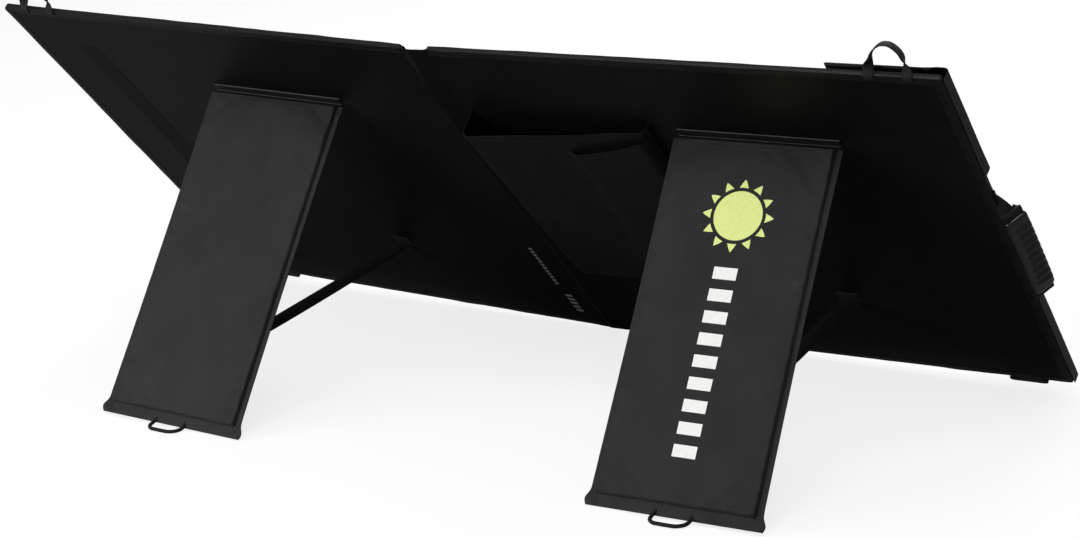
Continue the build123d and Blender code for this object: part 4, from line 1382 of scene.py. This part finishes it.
def make_pouch(axes, pocket):
    """The outer pouch: a sheet sewn on at its sides and foot, with a slanting, sagging hem."""
    low, high = axes.span("pocket_pouch")
    u = np.concatenate([[0, 0.015], np.linspace(0.05, 0.95, 26), [0.985, 1]])
    v = np.concatenate([[0, 0.01, 0.03], np.linspace(0.06, 0.96, 44), [0.985, 1]])
    up, out = np.meshgrid(v, u, indexing="ij")
    x = low[0] + (high[0] - low[0] - 1.5) * out
    y = low[1] + (pouch_hem(out, high[1]) - low[1]) * up
    base = laid(surface_of(pocket), axes, np.stack([x, y, 0 * x], -1))
    side = np.minimum(1, np.minimum(out / 0.12, (1 - out) / 0.1))
    gap = 0.9 + (1.2 + 4.2 * up**2) * np.sin(np.pi / 2 * side) * np.minimum(1, up / 0.06)
    gap += 0.25 * waves(x, y, 40, 91) + 0.5 * (up > 0.975)
    outer, inner = base.copy(), base.copy()
    outer[..., 2] -= gap
    inner[..., 2] -= gap - 0.75
    made = shell("pocket_pouch_sheet", axes, outer, inner, POCKET_CLOTH)
    settle(made, "left_half", "pocket_pouch")
    return made


def pocket_threads(axes, bag, *pieces):
    """Seams along both hems and down the pouch's inner side."""
    surface = surface_of(*pieces)
    x = np.linspace(bag.x[0] + 8, bag.x[1] - 8, 80)
    rows = [sewn(surface, axes, x, bag.y[1] - 7.5 - MOUTH_DROOP * np.sin(np.pi * bag.share(x)) ** 1.2)]
    low, high = axes.span("pocket_pouch")
    x = np.linspace(low[0] + 2, high[0] - 3, 50)
    rows.append(sewn(surface, axes, x, pouch_hem((x - low[0]) / (high[0] - low[0]), high[1]) - 6.0))
    y = np.linspace(low[1] + 4, high[1] - HEM_SLANT - 4, 90)
    rows.append(sewn(surface, axes, low[0] + 2.2, y))
    thread = stitches("pocket_stitches", rows, THREAD)
    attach(thread, "left_half")


bag_outline = Bag(HALF["left"])
bag = make_pocket(HALF["left"], bag_outline)
pouch = make_pouch(HALF["left"], bag)
pocket_threads(HALF["left"], bag_outline, bag, pouch)


# ------------------------------------------------------------------ closing flap


def flap_stretches():
    """The two stretches of the outer edge that carry the spine, either side of the handle."""
    axes = HALF["left"]
    points = axes.local([v.co for v in frame["nodes"]["flap_spine"].data.vertices])
    levels = np.unique(np.round(points[:, 1], 2))
    middle = (levels[0] + levels[-1]) / 2
    return (
        (levels[0], levels[levels < middle].max()),
        (levels[levels > middle].min(), levels[-1]),
    )


STRETCHES = flap_stretches()
FLAP_LOW, FLAP_HIGH = HALF["left"].span("flap_outer_cover")
ROOT_X, HINGE_Z = HALF["left"].local(hinge_place("flap_spine_hinge"))[[0, 2]]
BEND_X = HALF["left"].local(hinge_place("flap_bend"))[0]


def sheet_over(name, profile, stretch, thick, material, seed, rows=70, ripple=0.18):
    """A sheet with one cross-section in x and z, drawn along a stretch of the edge."""
    path = spline([(x, 0, z) for x, z in profile], 40)
    ahead = unit(np.gradient(path, axis=0))
    normal = np.column_stack([ahead[:, 2], np.zeros(40), -ahead[:, 0]])
    y, across_it = np.meshgrid(np.linspace(*stretch, rows), np.arange(40.0), indexing="ij")
    wave = ripple * waves(across_it, y, 42, seed)[..., None]
    outer, inner = (path + normal * (lift + wave) for lift in (thick / 2, -thick / 2))
    outer[..., 1] = inner[..., 1] = y
    cloth = np.stack([y, across_it, 0 * y], -1)
    return shell(name, HALF["left"], outer, inner, material, cloth=cloth)


def make_flap_root():
    """Tape up the outer edge and over onto the spine, then the spine's bend into the flap."""
    half = HALF["left"]
    made = []
    for k, stretch in enumerate(STRETCHES):
        profile = (
            (WIDTH + 0.55, -0.2), (WIDTH + 0.85, 2.0), (WIDTH + 1.3, 5.0), (WIDTH + 1.7, HINGE_Z - 2.5),
            (ROOT_X + 0.1, HINGE_Z - 0.2), (ROOT_X - 2.2, HINGE_Z + 1.4), (ROOT_X - 5.5, HINGE_Z + 1.9),
        )
        root = sheet_over(f"flap_root_tape_{k + 1}", profile, stretch, 0.6, TAPE, 101 + k)
        half.world((ROOT_X + 0.6, 0, HINGE_Z - 0.6))
        half.world((ROOT_X - 2.0, 0, HINGE_Z + 0.2))
        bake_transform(root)
        profile = (
            (ROOT_X - 1.4, HINGE_Z + 0.4), (ROOT_X - 4, HINGE_Z + 1.3), (ROOT_X - 8, HINGE_Z + 1.7),
            (BEND_X + 2, HINGE_Z + 1.5), (BEND_X - 2, HINGE_Z + 1.0), (BEND_X - 7, HINGE_Z + 0.8),
        )
        spine = sheet_over(f"flap_spine_sheet_{k + 1}", profile, stretch, 0.9, BACK_CLOTH, 111 + k)
        half.world((BEND_X + 3.0, 0, HINGE_Z))
        half.world((BEND_X - 3.0, 0, HINGE_Z))
        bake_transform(spine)
        made += [root, spine]
    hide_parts("flap_hinge_tape")
    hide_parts("flap_spine")


def make_flap():
    """The padded flap, notched round the handle."""
    half = HALF["left"]
    notch_low, notch_high = STRETCHES[0][1], STRETCHES[1][0]
    depth = 22.0
    left, right = FLAP_LOW[0], FLAP_HIGH[0]
    low, high = FLAP_LOW[1], FLAP_HIGH[1]
    u = np.concatenate([[0, 0.01, 0.03], np.linspace(0.07, 0.93, 26), [0.97, 0.99, 1]])
    v = np.concatenate([[0, 0.002, 0.006], np.linspace(0.015, 0.985, 128), [0.994, 0.998, 1]])
    y = np.tile((low + (high - low) * v)[:, None], len(u))
    edge = right - depth * smooth((y - notch_low + 2) / 5) * smooth((notch_high + 2 - y) / 5)
    x = left + (edge - left) * u
    inset = np.minimum.reduce([x - left, edge - x, y - low, high - y])
    round_off = np.clip(inset / 3.0, 0, 1)
    crown = np.sqrt(round_off * (2 - round_off))
    pillow = np.sqrt(np.clip(inset / 30, 0, 1))
    back = half.span("flap_inner_cover")[0][2]
    mid = (back + FLAP_HIGH[2]) / 2
    half_thick = (FLAP_HIGH[2] - back) / 2
    ripple = 0.25 * waves(x, y, 60, 121)
    # the flap hangs a little lower towards its free edge
    hang = -0.9 * smooth((right - 20 - x) / (right - left - 20))
    top = mid + 0.25 + half_thick * crown + (0.7 * pillow + ripple) * pillow + hang * 0.3
    outer = np.stack([x, y, top], -1)
    inner = np.stack([x, y, mid - 0.25 - half_thick * crown + hang], -1)
    made = shell("flap_pad", half, outer, inner, BACK_CLOTH, sharp=70)
    pinned = np.ones(2 * inset.size, bool)
    pinned[:inset.size] = (inset < 3.0).ravel()
    puff(made, pinned, pressure=1.5, cap=0.8, shrink=-0.008)
    settle(made, "flap", "flap_outer_cover", "flap_inner_cover")
    surface = surface_of(made)
    rows = []
    for at in (4.5, 8.0):
        path = even(rect_path((left + at, low + at), (right - depth - at * 0.4, high - at), 5.0), 4.0)
        rows.append((half, laid(surface, half, path_3d(path), 0.03, side=1), (0, 0, 1)))
    thread = stitches("flap_stitches", rows, THREAD)
    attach(thread, "flap")
    low_hook, high_hook = half.span("flap_hook_tape")
    hook = long_pad("flap_hook_strip", half, low_hook, high_hook, -1, back - 1.0)
    settle(hook, "flap", "flap_hook_tape")


def path_3d(path):
    """A flat path as points at z = 0."""
    return np.column_stack([path, np.zeros(len(path))])


def long_pad(name, axes, low, high, side, base):
    """A strip of hook or loop tape between two corners, with soft edges."""
    u = np.concatenate([[0, 0.03], np.linspace(0.08, 0.92, 10), [0.97, 1]])
    v = np.concatenate([[0, 0.002], np.linspace(0.006, 0.994, 90), [0.998, 1]])
    x, y = np.meshgrid(low[0] + (high[0] - low[0]) * u, low[1] + (high[1] - low[1]) * v, indexing="ij")
    near = np.minimum.reduce([x - low[0], high[0] - x, y - low[1], high[1] - y])
    thick = high[2] - low[2]
    rise = thick * (0.4 + 0.6 * smooth(near / 1.2))
    outer = np.stack([x, y, base + side * rise], -1)
    inner = np.stack([x, y, np.full_like(x, base - side * 0.1)], -1)
    return shell(name, axes, outer, inner, PILE)


make_flap_root()
make_flap()
loop_low, loop_high = HALF["right"].span("right_loop_tape")
loop_strip = long_pad("right_loop_strip", HALF["right"], loop_low, loop_high, -1, 0.1)
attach(loop_strip, "right_half")
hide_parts("right_loop_tape")


# ------------------------------------------------------------------ handle


def hanging_axes():
    """Axes of the handle as it hangs: x out from its hinge line, y up the slope."""
    hinge = hinge_place("handle_hinge")
    grip = np.array([v.co for v in frame["nodes"]["handle_grip"].data.vertices]).mean(0)
    out = grip - hinge
    out = unit(out - (out @ UP) * UP)
    return Local(hinge, out, UP, SIGN["left"] * np.cross(out, UP))


def handle_path(roots, grip_x, grip_half, count=121):
    """Middle line of the webbing, from one sewn end through the grip to the other."""
    reach = roots[-1][1]
    above = roots + [(4.0, reach - 2.5, 0), (9.5, reach - 15, 0), (grip_x - 1.5, grip_half + 9, 0)]
    above += [(grip_x, grip_half - 5, 0), (grip_x + 0.8, grip_half * 0.5, 0), (grip_x + 1.0, 0, 0)]
    return spline(above + [(x, -y, z) for x, y, z in above[-2::-1]], count)


def make_handle():
    """Webbing that turns edge-on as it leaves the panel, its grip and its sewn-in ends."""
    half, hang = HALF["left"], hanging_axes()
    grip_low, grip_high = hang.span("handle_grip")
    web_low, web_high = hang.span("handle_webbing")
    reach = (web_high[1] - web_low[1]) / 2 - 12.0
    middle = float(half.local(hang.origin)[1])
    grip_x = (grip_low[0] + grip_high[0]) / 2 - 1.0
    grip_half = (grip_high[1] - grip_low[1]) / 2
    z = FRONT / 2
    edge = [(WIDTH - 5, middle + reach, z), (WIDTH + 1.2, middle + reach, z)]
    roots = [tuple(hang.local(half.world(place))) for place in edge]
    path = handle_path(roots, grip_x, grip_half)
    ahead = unit(np.gradient(path, axis=0))
    beside = np.column_stack([-ahead[:, 1], ahead[:, 0], np.zeros(len(path))])
    turn = np.radians(90) * smooth(path[:, 0] / (grip_x - 3.0))
    wide = beside * np.cos(turn)[:, None] + np.array((0, 0, 1.0)) * np.sin(turn)[:, None]
    rings = strap_rings(path, wide, bar_section(20.0, 1.6))
    strap = tube("handle_strap", hang, rings, WEBBING)
    half.world((WIDTH + 1.2, middle, z))
    hang.world((4.0, 0, 0))
    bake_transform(strap)
    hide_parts("handle_webbing")
    make_grip(hang, grip_x, grip_half, (grip_high[2] - grip_low[2]) / 2)
    profile = (
        (WIDTH + 0.1, 0.2), (WIDTH + 0.9, 0.8), (WIDTH + 1.1, z), (WIDTH + 0.9, FRONT - 0.8),
        (WIDTH + 0.1, FRONT - 0.2),
    )
    for k, centre in enumerate((middle - reach, middle + reach)):
        stretch = (centre - 13.0, centre + 13.0)
        tab = sheet_over(
            f"handle_anchor_{k + 1}", profile, stretch, 1.0, WEBBING, 131 + k, rows=16, ripple=0.05
        )
        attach(tab, "left_half")
        if k == 0:
            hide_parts("handle_anchor_tabs")


def make_grip(hang, grip_x, grip_half, wide_r):
    """Moulded grip: an oval sleeve with curved cross ribs on its outer face."""
    ribs, pitch, thick_r = 9, 12.0, 4.6
    y, t = np.meshgrid(
        np.linspace(-grip_half, grip_half, 200), np.linspace(0, 2 * math.pi, 56)[:-1], indexing="ij"
    )
    closing = np.clip((abs(y) - grip_half + 5) / 5, 0, 1)
    end = np.sqrt(1 - closing**2) * 0.35 + 0.65
    cx, cz = np.cos(t), np.sin(t)
    px = np.sign(cx) * abs(cx) ** 0.7 * thick_r * end
    pz = np.sign(cz) * abs(cz) ** 0.6 * wide_r * end
    curve = 3.4 * (pz / wide_r) ** 2
    inside = abs(y) < (ribs - 0.1) * pitch / 2
    rib = np.where(inside, (0.5 + 0.5 * np.cos(2 * math.pi * (y + curve) / pitch)) ** 0.8, 0.0)
    rib *= smooth((pz / wide_r + 0.5) / 0.3)
    px += np.sqrt(np.maximum(cx, 0)) * (3.0 * rib - 1.2) * (1 - 0.35 * (pz / wide_r) ** 4)
    bow = 1.0 * (1 - (y / grip_half) ** 2)
    rings = np.stack([grip_x + bow + px, y, pz], -1)
    grip = tube("handle_grip_sleeve", hang, rings, RUBBER, sharp=75)
    settle(grip, "handle", "handle_grip")


make_handle()


# ------------------------------------------------------------------ floor, light and camera


def camera_only(nodes, seen, otherwise):
    """One value for what the camera sees directly and another for every other ray."""
    direct = nodes.add("ShaderNodeLightPath", output=0)
    return nodes.math("MULTIPLY_ADD", direct, seen - otherwise, otherwise)


def make_stage():
    """A pale floor that reads white to the camera but throws little light back up."""
    n = Nodes("pale_floor")
    place = object_place(n, 1.0)
    soft = n.noise(place, 1.5, 3.0)
    colour = n.mix(soft, grey(0.24), grey(0.27))
    n.surface(Base_Color=colour, Roughness=0.9, Emission_Strength=camera_only(n, 0.80, 0.0))
    n.surface(Specular_IOR_Level=0.0, Emission_Color=grey(1.0))
    mesh = bpy.data.meshes.new("floor")
    size = 9.0
    corners = [(-size, -size, 0), (size, -size, 0), (size, size, 0), (-size, size, 0)]
    mesh.from_pydata(corners, [], [(0, 1, 2, 3)])
    mesh.materials.append(n.material)
    floor = bpy.data.objects.new("floor", mesh)
    floor.location.z = -0.0004
    bpy.context.scene.collection.objects.link(floor)


def area_light(name, place, aim, size, power):
    """A rectangular light at place, turned to aim."""
    light = bpy.data.lights.new(name, "AREA")
    light.shape = "RECTANGLE"
    light.size, light.size_y = size
    light.energy = power
    made = bpy.data.objects.new(name, light)
    made.location = place
    made.rotation_euler = (Vector(aim) - Vector(place)).to_track_quat("-Z", "Y").to_euler()
    bpy.context.scene.collection.objects.link(made)


def make_lights():
    """A soft light above, a low one from one side, one for the front, and a pale surround."""
    world = bpy.data.worlds.new("studio")
    world.use_nodes = True
    tree = world.node_tree
    background = tree.nodes["Background"]
    direct = tree.nodes.new("ShaderNodeLightPath")
    strength = tree.nodes.new("ShaderNodeMapRange")
    strength.inputs["To Min"].default_value = 0.30
    strength.inputs["To Max"].default_value = 1.0
    tree.links.new(direct.outputs["Is Camera Ray"], strength.inputs["Value"])
    tree.links.new(strength.outputs[0], background.inputs["Strength"])
    background.inputs["Color"].default_value = (1, 1, 1, 1)
    bpy.context.scene.world = world
    area_light("key", (-0.6, 2.1, 3.1), (0, 0.3, 0.1), (2.2, 1.4), 52)
    area_light("low", (1.3, 2.3, 0.5), (0.3, 0.4, 0.4), (1.6, 0.5), 42)
    area_light("front", (0.5, -2.8, 2.4), (0, 0.2, 0.2), (2.0, 1.6), 45)


def make_camera():
    """A long lens behind the panel and above it, looking slightly down, with a small roll."""
    place = Vector((-1.2276, 2.2502, 0.7502))
    aim = Vector((0.1066, 0.0015, 0.0605))
    roll = math.radians(-1.052)
    back = (place - aim).normalized()
    right = Vector((0, 0, 1)).cross(back).normalized()
    up = back.cross(right)
    tilted = right * math.cos(roll) + up * math.sin(roll)
    lens = bpy.data.cameras.new("camera")
    lens.lens, lens.sensor_width = 76.13, 36.0
    made = bpy.data.objects.new("camera", lens)
    turn = Matrix((tilted, back.cross(tilted), back)).transposed().to_4x4()
    made.matrix_world = Matrix.Translation(place) @ turn
    bpy.context.scene.collection.objects.link(made)
    bpy.context.scene.camera = made


make_stage()
make_lights()
make_camera()
bpy.context.scene.view_settings.view_transform = "Standard"
